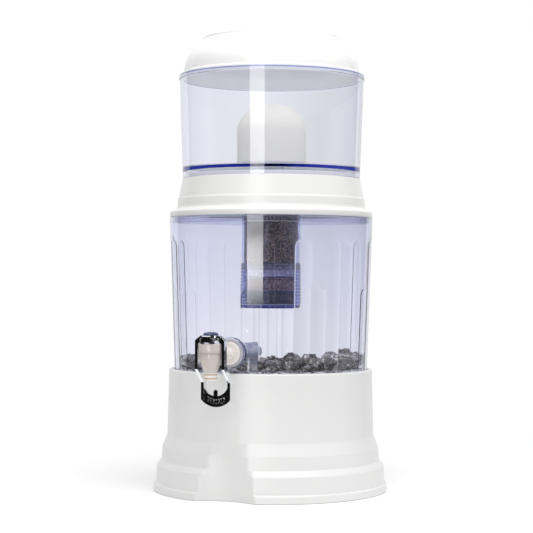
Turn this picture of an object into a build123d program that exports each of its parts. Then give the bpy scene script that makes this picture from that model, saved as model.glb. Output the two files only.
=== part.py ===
from build123d import *
import math
import os

os.makedirs("parts", exist_ok=True)

# Millimetres, +Z up, the tap points to -Y, the origin is on the tanks' axis in the plane the stand rests on.

# ---------------------------------------------------------------- driving dimensions
# stand
BASE_R = 140.0          # foot of the stand
LIP_H = 8.2
BAND_R_LOW, BAND_R_TOP = 123.6, 121.7
BASE_H = 144.5          # top edge of the stand
SHELF_Z = 128.0         # where the lower tank rests
SHELF_T = 3.5
BASE_WALL = 3.0
RECESS_R = 116.3
NICHE_R = 64.0          # cup niche, a vertical cylinder
NICHE_D = 187.4         # its axis, in front of the tanks' axis
RIBS = 8

# lower tank
LT_Z0, LT_Z1 = 128.0, 325.0
LT_R0, LT_R1 = 115.2, 122.0
LT_SHOULDER_R, LT_SHOULDER_Z = 120.3, 285.0    # top of the straight taper
LT_RIM_Z = 308.0                               # from here up the rim is upright
LT_WALL = 2.9
LT_FLOOR = 3.5
FLUTE_HALF, FLUTE_THICK = 9.6, 1.0             # half-width of a raised flute inside the wall, and how far it stands out
FLUTE_TALL_Z, FLUTE_SHORT_Z = 287.8, 231.2   # centres of the rounded flute tops
FLUTE_COUNT = 36                             # every fourth one is short
BOSS_R, BOSS_FACE = 18.0, 120.6
PAD_R, PAD_FACE = 16.0, 112.0
SAND_TOP = 145.5
STONE_LIFT = 0.5

# tap, on a horizontal axis through the tank wall
TAP_Z = 167.5
TAP_HOLE_R = 8.4
TAIL_R = 8.0
NECK_R = 7.2
FLANGE_R, FLANGE_T = 13.2, 3.0
WASHER_T = 2.0
BARREL_Y = 174.0
BARREL_R = 12.0
CHAMBER_R = 7.0
SEAT_Z = 154.5
BARREL_TOP = 172.0
NECK_TOP_Z = 178.0
BONNET_R, BONNET_TOP = 13.2, 180.3
STEM_R = 2.0
STEM_HOLE_R = 2.08
PIVOT_Y, PIVOT_Z = 183.0, 184.4
PIN_R = 1.5
PIN_FIT = 0.06
ARM_X0, ARM_X1 = 14.4, 17.8
ARM_T = 6.8
PADDLE_Y = 157.5
BAR_TOP = 189.4
HEAD_GAP = 0.25
ELBOW_R = 10.5
ELBOW_END = 49.0
DIP_Y, DIP_R = 58.0, 4.3

# collar
COL_Z0 = LT_Z1
COL_R = 121.6
COL_TOP = 371.8
COL_OPEN_R = 48.0
DECK_Z = 362.5

# upper tank
UT_R0, UT_R1 = 106.5, 110.8
UT_Z0, UT_Z1 = COL_TOP, 495.4
UT_WALL = 3.0
UT_FLOOR_TOP, UT_FLOOR_T = 383.6, 3.4
UT_RIM_R, UT_RIM_H = 111.7, 4.6
STEM_BORE_R = 9.4

# filters
DOME_R, DOME_TOP = 41.5, 463.0
DOME_STEM_R = 9.0
CART_R = 35.2
CUP_R = 36.0
CUP_Z0, CUP_Z1 = 217.0, 270.4
BED_R = 32.8

# lid
LID_Z0 = UT_Z1
LID_BRIM_R = 109.2
LID_PLUG_R = 106.9
LID_T = 2.6


def r_lower(z):
    if z <= LT_SHOULDER_Z:
        return LT_R0 + (z - LT_Z0) * (LT_SHOULDER_R - LT_R0) / (LT_SHOULDER_Z - LT_Z0)
    return min(LT_R1, LT_SHOULDER_R + (z - LT_SHOULDER_Z) * (LT_R1 - LT_SHOULDER_R) / (LT_RIM_Z - LT_SHOULDER_Z))


def r_upper(z):
    return UT_R0 + (z - UT_Z0) * (UT_R1 - UT_R0) / (UT_Z1 - UT_Z0)


def near(shape_list, x, y):
    return shape_list.sort_by(lambda v: (v.X - x) ** 2 + (v.Y - y) ** 2)[0]


# ---------------------------------------------------------------- base stand
# hollow room under the shelf, kept clear of the niche wall
with BuildPart() as base_room:
    with BuildSketch(Plane.XZ) as room_profile:
        with BuildLine():
            Polyline(
                (0, -1),
                (BASE_R - BASE_WALL, -1),
                (BASE_R - BASE_WALL - 0.4, LIP_H - 2.6),
                (134.0, LIP_H - 1.4),
                (133.0, 27.6),
                (127.6, 34.4),
                (126.4, 50.4),
                (120.6, 65.2),
                (119.0, SHELF_Z - SHELF_T - 6),
                (115.0, SHELF_Z - SHELF_T),
                (0, SHELF_Z - SHELF_T),
                close=True,
            )
        make_face()
    revolve(axis=Axis.Z)
    with Locations((0, -NICHE_D, 30)):
        Cylinder(NICHE_R + BASE_WALL, 120, mode=Mode.SUBTRACT)

with BuildPart() as base_stand:
    with BuildSketch(Plane.XZ) as base_profile:
        with BuildLine():
            Polyline(
                (0, 0),
                (BASE_R, 0),
                (BASE_R - 0.5, LIP_H),
                (136.9, LIP_H + 1.4),
                (136.1, 29.4),
                (130.6, 36.2),
                (129.5, 51.6),
                (BAND_R_LOW, 66.0),
                (BAND_R_TOP, BASE_H),
                (RECESS_R, BASE_H),
                (RECESS_R, SHELF_Z),
                (0, SHELF_Z),
                close=True,
            )
        make_face()
        fillet(near(base_profile.vertices(), BASE_R - 0.5, LIP_H), 1.6)
        fillet(near(base_profile.vertices(), 136.9, LIP_H + 1.4), 1.2)
        fillet(near(base_profile.vertices(), 136.1, 29.4), 3.6)
        fillet(near(base_profile.vertices(), 130.6, 36.2), 1.6)
        fillet(near(base_profile.vertices(), 129.5, 51.6), 4.5)
        fillet(near(base_profile.vertices(), BAND_R_LOW, 66.0), 6.0)
        fillet(near(base_profile.vertices(), BAND_R_TOP, BASE_H), 2.6)
    revolve(axis=Axis.Z)
    # the niche that lets a cup stand under the spout
    with Locations((0, -NICHE_D, 30)):
        Cylinder(NICHE_R, 120, mode=Mode.SUBTRACT)
    add(base_room.part, mode=Mode.SUBTRACT)
    # opening in the shelf and stiffening ribs below it
    with Locations((0, 0, SHELF_Z - SHELF_T / 2)):
        Cylinder(45, SHELF_T + 2, mode=Mode.SUBTRACT)
    for k in range(RIBS):
        a = 360 / RIBS * (k + 0.5)
        with BuildSketch(Plane(origin=(0, 0, 0), x_dir=(math.cos(math.radians(a)), math.sin(math.radians(a)), 0), z_dir=(math.sin(math.radians(a)), -math.cos(math.radians(a)), 0))) as rib:
            with BuildLine():
                Polyline((45, SHELF_Z - 1), (45, 116), (96, 100), (121.0, 86), (121.0, SHELF_Z - 1), close=True)
            make_face()
        extrude(amount=1.2, both=True)
base_stand.part.label = "base_stand"

# ---------------------------------------------------------------- lower tank
def lower_room_shape(wall):
    """The room inside the lower tank for a wall of one thickness."""
    with BuildPart() as room:
        with BuildSketch(Plane.XZ) as room_profile:
            with BuildLine():
                Polyline(
                    (0, LT_Z0 + LT_FLOOR),
                    (r_lower(LT_Z0 + LT_FLOOR) - wall, LT_Z0 + LT_FLOOR),
                    (LT_SHOULDER_R - wall, LT_SHOULDER_Z),
                    (LT_R1 - wall, LT_RIM_Z),
                    (LT_R1 - wall, LT_Z1 + 2),
                    (0, LT_Z1 + 2),
                    close=True,
                )
            make_face()
            fillet(near(room_profile.vertices(), r_lower(LT_Z0 + LT_FLOOR) - wall, LT_Z0 + LT_FLOOR), 5.0)
        revolve(axis=Axis.Z)
    return room.part


# round-topped flutes that stand out from the wall's inner face, every fourth one short
with BuildPart() as flutes:
    add(lower_room_shape(LT_WALL))
    add(lower_room_shape(LT_WALL + FLUTE_THICK), mode=Mode.SUBTRACT)
    with BuildPart(mode=Mode.INTERSECT):
        for k in range(FLUTE_COUNT):
            turn = math.radians(360.0 * k / FLUTE_COUNT)
            top = FLUTE_SHORT_Z if k % 4 == 1 else FLUTE_TALL_Z
            out = (math.sin(turn), -math.cos(turn), 0)
            with BuildSketch(Plane(origin=(100 * out[0], 100 * out[1], 0), x_dir=(math.cos(turn), math.sin(turn), 0), z_dir=out)):
                with BuildLine():
                    Line((-FLUTE_HALF, 137.0), (FLUTE_HALF, 137.0))
                    Line((FLUTE_HALF, 137.0), (FLUTE_HALF, top))
                    ThreePointArc((FLUTE_HALF, top), (0, top + FLUTE_HALF), (-FLUTE_HALF, top))
                    Line((-FLUTE_HALF, top), (-FLUTE_HALF, 137.0))
                make_face()
            extrude(amount=30)

with BuildPart() as lower_room:
    add(lower_room_shape(LT_WALL))
    add(flutes.part, mode=Mode.SUBTRACT)
    # flat pad around the tap hole, inside
    with BuildSketch(Plane.XZ.offset(PAD_FACE)):
        with Locations((0, TAP_Z)):
            Circle(PAD_R)
    extrude(amount=20, mode=Mode.SUBTRACT)
    # room for the washer, where the flutes beside the pad stand further in
    with BuildSketch(Plane.XZ.offset(PAD_FACE - 12)):
        with Locations((0, TAP_Z)):
            Circle(PAD_R + 0.6)
    extrude(amount=12)

with BuildPart() as lower_tank:
    with BuildSketch(Plane.XZ) as lower_profile:
        with BuildLine():
            Polyline(
                (0, LT_Z0),
                (LT_R0, LT_Z0),
                (LT_SHOULDER_R, LT_SHOULDER_Z),
                (LT_R1, LT_RIM_Z),
                (LT_R1, LT_Z1),
                (0, LT_Z1),
                close=True,
            )
        make_face()
        fillet(near(lower_profile.vertices(), LT_R0, LT_Z0), 5.0)
    revolve(axis=Axis.Z)
    # boss for the tap, outside
    with BuildSketch(Plane.XZ.offset(100)):
        with Locations((0, TAP_Z)):
            Circle(BOSS_R)
    extrude(amount=BOSS_FACE - 100)
    add(lower_room.part, mode=Mode.SUBTRACT)
    with BuildSketch(Plane.XZ.offset(95)):
        with Locations((0, TAP_Z)):
            Circle(TAP_HOLE_R)
    extrude(amount=40, mode=Mode.SUBTRACT)
lower_tank.part.label = "lower_tank"

# ---------------------------------------------------------------- mineral sand
with BuildPart() as mineral_sand:
    with BuildSketch(Plane.XZ):
        with BuildLine():
            Polyline(
                (0, LT_Z0 + LT_FLOOR),
                (104.6, LT_Z0 + LT_FLOOR),
                (109.8, LT_Z0 + LT_FLOOR + 6.0),
                (110.9, SAND_TOP),
                (0, SAND_TOP),
                close=True,
            )
        make_face()
    revolve(axis=Axis.Z)
mineral_sand.part.label = "mineral_sand"

# ---------------------------------------------------------------- mineral stones
# centre, direction of the short axis, long and short half-lengths
STONES = [
    (58.29, -78.78, 157.59, 0.866, 0.5, 0.0, 12.2, 10.2),
    (39.39, -90.67, 151.83, -0.0, -0.0, 1.0, 10.8, 6.6),
    (32.45, -69.63, 154.4, 0.185, 0.093, 0.978, 11.0, 9.0),
    (16.3, -70.8, 150.81, 0.0, 0.0, 1.0, 5.0, 5.6),
    (70.33, -52.37, 155.65, 0.275, 0.186, 0.943, 11.2, 10.2),
    (88.7, -38.38, 156.77, 0.766, -0.643, 0.002, 11.4, 10.2),
    (75.59, -69.98, 148.94, -0.002, -0.001, 1.0, 8.8, 3.8),
    (92.46, 8.03, 157.36, 0.272, -0.0, 0.962, 14.0, 11.8),
    (99.61, -16.67, 150.38, 0.0, 0.0, 1.0, 8.0, 5.2),
    (96.3, 32.55, 154.92, 0.0, 0.001, 1.0, 10.2, 9.6),
    (-86.34, -50.45, 153.27, 0.0, 0.0, 1.0, 9.8, 8.0),
    (-72.59, -68.89, 154.2, 0.186, 0.186, 0.965, 10.2, 8.8),
    (-55.01, -84.71, 150.18, 0.0, 0.0, 1.0, 8.6, 5.0),
    (-34.72, -95.38, 149.35, 0.0, 0.0, 1.0, 8.0, 4.2),
    (-1.47, -83.99, 148.74, 0.0, 0.0, 1.0, 7.0, 3.6),
    (-94.66, -25.36, 151.41, 0.0, 0.0, 1.0, 10.5, 6.2),
    (50.02, -51.79, 151.62, 0.0, 0.0, 1.0, 9.0, 6.4),
    (69.47, -25.38, 152.8, 0.182, 0.182, 0.966, 9.4, 7.4),
    (69.83, -4.88, 151.21, 0.0, 0.0, 1.0, 9.0, 6.0),
    (-39.0, -67.55, 149.97, 0.0, 0.0, 1.0, 8.6, 4.8),
    (-62.26, -43.59, 150.59, 0.0, 0.0, 1.0, 9.2, 5.4),
    (82.84, 55.85, 149.85, 0.076, 0.076, 0.994, 9.4, 4.6),
    (62.35, 74.36, 149.38, 0.004, -0.049, 0.999, 10.2, 4.2),
    (39.16, 92.07, 149.25, -0.109, -0.028, 0.994, 9.0, 4.0),
    (8.57, 97.75, 149.68, -0.021, -0.105, 0.994, 10.4, 4.4),
    (-20.7, 97.71, 149.27, -0.108, 0.119, 0.987, 9.2, 3.9),
    (-49.04, 84.94, 149.61, 0.036, -0.063, 0.997, 10.0, 4.4),
    (-73.56, 66.14, 149.47, -0.016, 0.115, 0.993, 9.4, 4.2),
    (-91.45, 40.59, 149.91, 0.095, 0.082, 0.992, 10.2, 4.6),
    (-98.6, 8.63, 150.39, -0.027, -0.002, 1.0, 10.0, 5.2),
    (63.54, 33.88, 150.26, 0.046, -0.114, 0.992, 9.0, 5.0),
    (32.99, 57.21, 149.79, 0.013, -0.055, 0.998, 10.0, 4.6),
    (-5.82, 65.82, 149.5, 0.095, -0.11, 0.989, 8.6, 4.2),
    (-43.75, 52.01, 150.05, 0.045, 0.092, 0.995, 9.6, 4.8),
    (-67.57, 18.05, 150.27, -0.07, 0.102, 0.992, 9.0, 5.0),
    (41.28, 7.4, 150.75, 0.094, -0.121, 0.988, 10.0, 5.4),
    (-38.14, -21.91, 150.7, 0.054, -0.129, 0.99, 9.4, 5.4),
    (27.0, -32.16, 150.8, 0.001, -0.017, 1.0, 9.0, 5.6),
    (5.97, 33.52, 150.23, -0.075, -0.044, 0.996, 9.6, 5.0),
    (-31.24, 18.03, 150.23, 0.079, -0.047, 0.996, 9.2, 5.0),
    (13.22, -4.83, 150.45, -0.09, 0.051, 0.995, 9.4, 5.2),
    (-8.2, -22.6, 150.01, -0.013, 0.078, 0.997, 8.6, 4.8),
]
with BuildPart() as mineral_stones:
    for sx, sy, sz, ux, uy, uz, sa, sc in STONES:
        stone_plane = Plane(origin=(sx, sy, sz), z_dir=(ux, uy, uz))
        with BuildSketch(Plane(origin=(sx, sy, sz + STONE_LIFT), x_dir=stone_plane.x_dir, z_dir=-stone_plane.y_dir)) as stone_profile:
            with BuildLine():
                Polyline(
                    (0, -sc),
                    (0.42 * sa, -0.93 * sc),
                    (0.76 * sa, -0.66 * sc),
                    (0.97 * sa, -0.25 * sc),
                    (0.97 * sa, 0.25 * sc),
                    (0.76 * sa, 0.66 * sc),
                    (0.42 * sa, 0.93 * sc),
                    (0, sc),
                    close=True,
                )
            make_face()
        revolve(axis=Axis((sx, sy, sz + STONE_LIFT), (ux, uy, uz)))
mineral_stones.part.label = "mineral_stones"

# ---------------------------------------------------------------- tap body
barrel_plane = Plane(origin=(0, -BARREL_Y, 0), x_dir=(1, 0, 0), z_dir=(0, -1, 0))
barrel_axis = Axis((0, -BARREL_Y, 0), (0, 0, 1))
with BuildPart() as tap_body:
    # flange against the washer, neck to the barrel, threaded tail through the wall
    with BuildSketch(Plane.XZ.offset(BOSS_FACE + WASHER_T)):
        with Locations((0, TAP_Z)):
            Circle(FLANGE_R)
    extrude(amount=FLANGE_T)
    fillet(tap_body.edges().filter_by(GeomType.CIRCLE).sort_by(Axis.Y)[0], 1.2)
    with BuildSketch(Plane.XZ.offset(BOSS_FACE + WASHER_T)):
        with Locations((0, TAP_Z)):
            Circle(NECK_R)
    extrude(amount=BARREL_Y - BOSS_FACE - WASHER_T)
    with BuildSketch(Plane.XZ.offset(92)):
        with Locations((0, TAP_Z)):
            Circle(TAIL_R)
    extrude(amount=BOSS_FACE + WASHER_T - 92)
    # barrel, round goblet below and a plain neck for the bonnet above
    with BuildSketch(barrel_plane) as barrel_profile:
        with BuildLine():
            Polyline((0, 148.2), (6.7, 148.2), (6.9, 149.0))
            Spline((6.9, 149.0), (8.7, 152.4), (10.3, 156.5), (11.5, 161.3), (BARREL_R, 166.0), tangents=((0.6, 1), (0, 1)))
            Polyline(
                (BARREL_R, 166.0),
                (BARREL_R, 168.9),
                (11.5, 169.4),
                (11.5, 169.9),
                (13.0, 170.4),
                (13.0, 171.5),
                (12.6, BARREL_TOP),
                (9.4, BARREL_TOP),
                (9.4, NECK_TOP_Z),
                (0, NECK_TOP_Z),
                (0, 148.2),
            )
        make_face()
    revolve(axis=barrel_axis)
    with BuildSketch(barrel_plane):
        with BuildLine():
            Polyline(
                (0, 148.2),
                (5.4, 148.2),
                (5.4, 152.0),
                (4.2, 152.0),
                (4.2, SEAT_Z),
                (CHAMBER_R, SEAT_Z),
                (CHAMBER_R, NECK_TOP_Z),
                (0, NECK_TOP_Z),
                close=True,
            )
        make_face()
    revolve(axis=barrel_axis, mode=Mode.SUBTRACT)
    # seat of the bonnet skirt, let into the top of the neck
    with BuildSketch(barrel_plane):
        with BuildLine():
            Polyline((9.4, BARREL_TOP), (13.5, BARREL_TOP), (13.5, 180.0), (9.4, 180.0), close=True)
        make_face()
    revolve(axis=barrel_axis, mode=Mode.SUBTRACT)
    # water way from the tail to the chamber
    with BuildSketch(Plane.XZ.offset(92)):
        with Locations((0, TAP_Z)):
            Circle(4.2)
    extrude(amount=BARREL_Y - 92, mode=Mode.SUBTRACT)
tap_body.part.label = "tap_body"

# ---------------------------------------------------------------- tap bonnet
with BuildPart() as tap_bonnet:
    with BuildSketch(barrel_plane) as bonnet_profile:
        with BuildLine():
            Polyline(
                (STEM_HOLE_R, NECK_TOP_Z),
                (9.4, NECK_TOP_Z),
                (9.4, BARREL_TOP),
                (BONNET_R, BARREL_TOP),
                (BONNET_R, BONNET_TOP),
                (STEM_HOLE_R, BONNET_TOP),
                close=True,
            )
        make_face()
        fillet(near(bonnet_profile.vertices(), BONNET_R, BONNET_TOP), 1.0)
        fillet(near(bonnet_profile.vertices(), BONNET_R, BARREL_TOP), 0.5)
    revolve(axis=barrel_axis)
    # two ears that hold the lever pin
    for side in (-1, 1):
        with BuildSketch(Plane.YZ.offset(5.3 if side > 0 else -7.3)):
            with Locations((-PIVOT_Y, PIVOT_Z)):
                Circle(3.0)
            with Locations((-PIVOT_Y, (PIVOT_Z + BONNET_TOP - 1.5) / 2)):
                Rectangle(6.0, PIVOT_Z - BONNET_TOP + 1.5)
        extrude(amount=2.0)
    with BuildSketch(Plane.YZ.offset(-9)):
        with Locations((-PIVOT_Y, PIVOT_Z)):
            Circle(PIN_R)
    extrude(amount=18, mode=Mode.SUBTRACT)
tap_bonnet.part.label = "tap_bonnet"

# ---------------------------------------------------------------- lever pin
with BuildPart() as lever_pin:
    with BuildSketch(Plane.YZ.offset(-7.3)):
        with Locations((-PIVOT_Y, PIVOT_Z)):
            Circle(PIN_R)
    extrude(amount=14.6)
    for end in (-8.2, 7.3):
        with BuildSketch(Plane.YZ.offset(end)):
            with Locations((-PIVOT_Y, PIVOT_Z)):
                Circle(2.2)
        extrude(amount=0.9)
lever_pin.part.label = "lever_pin"

# ---------------------------------------------------------------- tap lever
with BuildPart() as tap_lever:
    # two cranked arms
    h = ARM_T / 2
    for x0 in (-ARM_X1, ARM_X0):
        with BuildSketch(Plane.YZ.offset(x0)) as arm_profile:
            with BuildLine():
                Polyline(
                    (-BARREL_Y - h, 182.0),
                    (-BARREL_Y - h, 152.0),
                    (-PADDLE_Y - h, 136.8),
                    (-PADDLE_Y - h, 117.0),
                    (-PADDLE_Y + h, 117.0),
                    (-PADDLE_Y + h, 139.7),
                    (-BARREL_Y + h, 154.9),
                    (-BARREL_Y + h, 182.0),
                    close=True,
                )
            make_face()
        extrude(amount=ARM_X1 - ARM_X0)
    # arched bar over the bonnet
    with BuildSketch(Plane.XZ.offset(BARREL_Y - h)) as bar_profile:
        with BuildLine():
            Polyline(
                (-ARM_X1, 178.0),
                (-ARM_X1, 184.0),
                (-10.6, BAR_TOP),
                (10.6, BAR_TOP),
                (ARM_X1, 184.0),
                (ARM_X1, 178.0),
                (ARM_X0, 178.0),
                (ARM_X0, 179.9),
                (8.6, 184.0),
                (-8.6, 184.0),
                (-ARM_X0, 179.9),
                (-ARM_X0, 178.0),
                close=True,
            )
        make_face()
        fillet(near(bar_profile.vertices(), -ARM_X1, 184.0), 2.5)
        fillet(near(bar_profile.vertices(), ARM_X1, 184.0), 2.5)
        fillet(near(bar_profile.vertices(), -10.6, BAR_TOP), 3.0)
        fillet(near(bar_profile.vertices(), 10.6, BAR_TOP), 3.0)
    extrude(amount=ARM_T)
    # lifting pad under the stem head, and the hinge tongue in front of it
    with BuildSketch(Plane.XY.offset(186.2)):
        with Locations((0, -(178.6 + 167.5) / 2)):
            RectangleRounded(16.0, 178.6 - 167.5, 1.5)
    extrude(amount=BAR_TOP - 186.2)
    with BuildSketch(Plane.YZ.offset(-5.0)) as tongue_profile:
        with BuildLine():
            Polyline(
                (-187.0, 181.9),
                (-187.0, BAR_TOP),
                (-176.0, BAR_TOP),
                (-176.0, 186.2),
                (-179.0, 186.2),
                (-180.2, 184.4),
                (-180.2, 181.9),
                close=True,
            )
        make_face()
        fillet(near(tongue_profile.vertices(), -187.0, BAR_TOP), 1.5)
    extrude(amount=10.0)
    # paddle with a round notch, a small tab and a grip of raised ribs
    with BuildSketch(Plane.XZ.offset(156.4)) as paddle_profile:
        with BuildLine():
            Polyline((-ARM_X1, 117.5), (-ARM_X1, 138.0), (-ARM_X0, 138.0), (-ARM_X0, 131.5))
            ThreePointArc((-ARM_X0, 131.5), (0, 121.6), (ARM_X0, 131.5))
            Polyline((ARM_X0, 131.5), (ARM_X0, 138.0), (ARM_X1, 138.0), (ARM_X1, 117.5))
            ThreePointArc((ARM_X1, 117.5), (0, 109.4), (-ARM_X1, 117.5))
        make_face()
        with Locations((0, 122.0)):
            Rectangle(5.2, 8.0)
        with Locations((0, 126.0)):
            Circle(2.6)
    extrude(amount=4.2)
    with BuildSketch(Plane.XZ.offset(160.5)):
        for k in range(-3, 4):
            with Locations((3.2 * k, 115.6 + 0.028 * (3.2 * k) ** 2)):
                SlotOverall(5.2, 1.5, rotation=90)
    extrude(amount=0.7)
    # hinge bore and the clearance hole for the stem
    with BuildSketch(Plane.YZ.offset(-9)):
        with Locations((-PIVOT_Y, PIVOT_Z)):
            Circle(PIN_R + PIN_FIT)
    extrude(amount=18, mode=Mode.SUBTRACT)
    with BuildSketch(Plane.XY.offset(180.0)):
        with Locations((0, -BARREL_Y)):
            Circle(4.2)
    extrude(amount=12, mode=Mode.SUBTRACT)
tap_lever.part.label = "tap_lever"

# ---------------------------------------------------------------- valve stem
with BuildPart() as valve_stem:
    with BuildSketch(barrel_plane) as stem_profile:
        with BuildLine():
            Polyline(
                (0, 156.5),
                (STEM_R, 156.5),
                (STEM_R, 160.0),
                (5.2, 160.0),
                (5.2, 161.5),
                (STEM_R, 161.5),
                (STEM_R, BAR_TOP + HEAD_GAP),
                (8.6, BAR_TOP + HEAD_GAP),
                (8.6, BAR_TOP + HEAD_GAP + 0.9),
                (8.1, BAR_TOP + HEAD_GAP + 1.9),
                (6.6, BAR_TOP + HEAD_GAP + 2.9),
                (4.0, BAR_TOP + HEAD_GAP + 3.5),
                (0, BAR_TOP + HEAD_GAP + 3.7),
                close=True,
            )
        make_face()
    revolve(axis=barrel_axis)
valve_stem.part.label = "valve_stem"

# ---------------------------------------------------------------- valve cup
with BuildPart() as valve_cup:
    with BuildSketch(barrel_plane) as cup_profile:
        with BuildLine():
            Polyline(
                (0, SEAT_Z),
                (5.6, SEAT_Z),
                (6.2, 155.6),
                (6.2, 157.4),
                (4.4, 160.0),
                (STEM_R, 160.0),
                (STEM_R, 156.5),
                (0, 156.5),
                close=True,
            )
        make_face()
    revolve(axis=barrel_axis)
valve_cup.part.label = "valve_cup"

# ---------------------------------------------------------------- valve spring
SPRING_R, WIRE_R = 4.2, 0.45
with BuildPart() as valve_spring:
    with BuildLine() as spring_path:
        Helix(pitch=2.8, height=15.4, radius=SPRING_R, center=(0, -BARREL_Y, 162.05))
    with BuildSketch(Plane(origin=spring_path.line @ 0, z_dir=spring_path.line % 0)):
        Circle(WIRE_R)
    sweep(path=spring_path.line, is_frenet=True)
valve_spring.part.label = "valve_spring"

# ---------------------------------------------------------------- spout tip
with BuildPart() as spout_tip:
    with BuildSketch(barrel_plane) as tip_profile:
        with BuildLine():
            Polyline(
                (4.2, 139.8),
                (6.4, 139.8),
                (6.6, 141.2),
                (7.1, 141.5),
                (7.1, 142.7),
                (6.6, 143.0),
                (6.6, 145.4),
                (7.1, 145.7),
                (7.1, 146.9),
                (6.6, 147.2),
                (6.6, 148.2),
                (5.4, 148.2),
                (5.4, 152.0),
                (4.2, 152.0),
                close=True,
            )
        make_face()
    revolve(axis=barrel_axis)
spout_tip.part.label = "spout_tip"

# ---------------------------------------------------------------- tap washers
with BuildPart() as tap_washer_outer:
    with BuildSketch(Plane.XZ.offset(BOSS_FACE)):
        with Locations((0, TAP_Z)):
            Circle(16.2)
            Circle(TAP_HOLE_R, mode=Mode.SUBTRACT)
    extrude(amount=WASHER_T)
    fillet(tap_washer_outer.edges().filter_by(GeomType.CIRCLE).group_by(SortBy.RADIUS)[-1], 0.6)
tap_washer_outer.part.label = "tap_washer_outer"

with BuildPart() as tap_washer_inner:
    with BuildSketch(Plane.XZ.offset(PAD_FACE - WASHER_T)):
        with Locations((0, TAP_Z)):
            Circle(14.5)
            Circle(TAP_HOLE_R, mode=Mode.SUBTRACT)
    extrude(amount=WASHER_T)
    fillet(tap_washer_inner.edges().filter_by(GeomType.CIRCLE).group_by(SortBy.RADIUS)[-1], 0.6)
tap_washer_inner.part.label = "tap_washer_inner"

# ---------------------------------------------------------------- tap lock nut
with BuildPart() as tap_nut:
    with BuildSketch(Plane.XZ.offset(102.6)):
        with Locations((0, TAP_Z)):
            RegularPolygon(14.4, 6)
            Circle(TAIL_R, mode=Mode.SUBTRACT)
    extrude(amount=PAD_FACE - WASHER_T - 102.6)
    chamfer(tap_nut.edges().group_by(Axis.Y)[-1].filter_by(GeomType.LINE), 0.8)
tap_nut.part.label = "tap_nut"

# ---------------------------------------------------------------- inlet elbow
with BuildPart() as inlet_elbow:
    with BuildSketch(Plane.XZ.offset(ELBOW_END)):
        with Locations((0, TAP_Z)):
            Circle(ELBOW_R)
    extrude(amount=102.4 - ELBOW_END)
    fillet(inlet_elbow.edges().filter_by(GeomType.CIRCLE).sort_by(Axis.Y)[-1], 2.5)
    with Locations((0, -DIP_Y, TAP_Z)):
        Cylinder(6.6, 14.5, align=(Align.CENTER, Align.CENTER, Align.MAX))
    with BuildSketch(Plane.XZ.offset(92)):
        with Locations((0, TAP_Z)):
            Circle(TAIL_R)
    extrude(amount=20, mode=Mode.SUBTRACT)
    with BuildSketch(Plane.XZ.offset(ELBOW_END + 2.5)):
        with Locations((0, TAP_Z)):
            Circle(6.6)
    extrude(amount=92 - ELBOW_END, mode=Mode.SUBTRACT)
    with Locations((0, -DIP_Y, TAP_Z)):
        Cylinder(DIP_R, 20, align=(Align.CENTER, Align.CENTER, Align.MAX), mode=Mode.SUBTRACT)
inlet_elbow.part.label = "inlet_elbow"

# ---------------------------------------------------------------- dip tube
with BuildPart() as dip_tube:
    with BuildSketch(Plane.XY.offset(SAND_TOP + 0.6)):
        with Locations((0, -DIP_Y)):
            Circle(DIP_R)
            Circle(DIP_R - 1.1, mode=Mode.SUBTRACT)
    extrude(amount=160.0 - SAND_TOP - 0.6)
    with Locations((0, -DIP_Y, SAND_TOP + 0.6)):
        Box(2.0, 20, 3.0, align=(Align.CENTER, Align.CENTER, Align.MIN), mode=Mode.SUBTRACT)
dip_tube.part.label = "dip_tube"

# ---------------------------------------------------------------- collar
with BuildPart() as collar:
    with BuildSketch(Plane.XZ) as collar_profile:
        with BuildLine():
            Polyline(
                (118.3, COL_Z0),
                (COL_R, COL_Z0),
                (COL_R, 331.4),
                (113.4, 335.8),
                (112.5, 338.5),
                (112.3, 347.0),
                (111.1, 349.2),
                (106.6, COL_TOP),
                (102.9, COL_TOP),
                (102.9, 376.6),
                (100.4, 376.6),
                (100.4, DECK_Z + 3.0),
                (COL_OPEN_R, DECK_Z + 3.0),
                (COL_OPEN_R, DECK_Z - 5.0),
                (COL_OPEN_R + 2.4, DECK_Z - 5.0),
                (COL_OPEN_R + 2.4, DECK_Z),
                (104.4, DECK_Z),
                (109.2, 345.5),
                (109.2, 333.5),
                (114.3, 330.6),
                (114.3, 317.4),
                (116.3, 317.4),
                (116.3, 323.6),
                (118.3, 323.6),
                close=True,
            )
        make_face()
        fillet(near(collar_profile.vertices(), COL_R, 331.4), 2.4)
        fillet(near(collar_profile.vertices(), 113.4, 335.8), 1.8)
        fillet(near(collar_profile.vertices(), COL_R, COL_Z0), 1.4)
        fillet(near(collar_profile.vertices(), 106.6, COL_TOP), 0.8)
        fillet(near(collar_profile.vertices(), 112.3, 347.0), 0.8)
        fillet(near(collar_profile.vertices(), 102.9, 376.6), 0.8)
    revolve(axis=Axis.Z)
collar.part.label = "collar"

with BuildPart() as collar_seal:
    with BuildSketch(Plane.XZ) as seal_profile:
        with Locations(((116.3 + 118.5) / 2, (317.4 + 323.6) / 2)):
            RectangleRounded(118.5 - 116.3, 323.6 - 317.4, 0.5)
    revolve(axis=Axis.Z)
collar_seal.part.label = "collar_seal"

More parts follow.
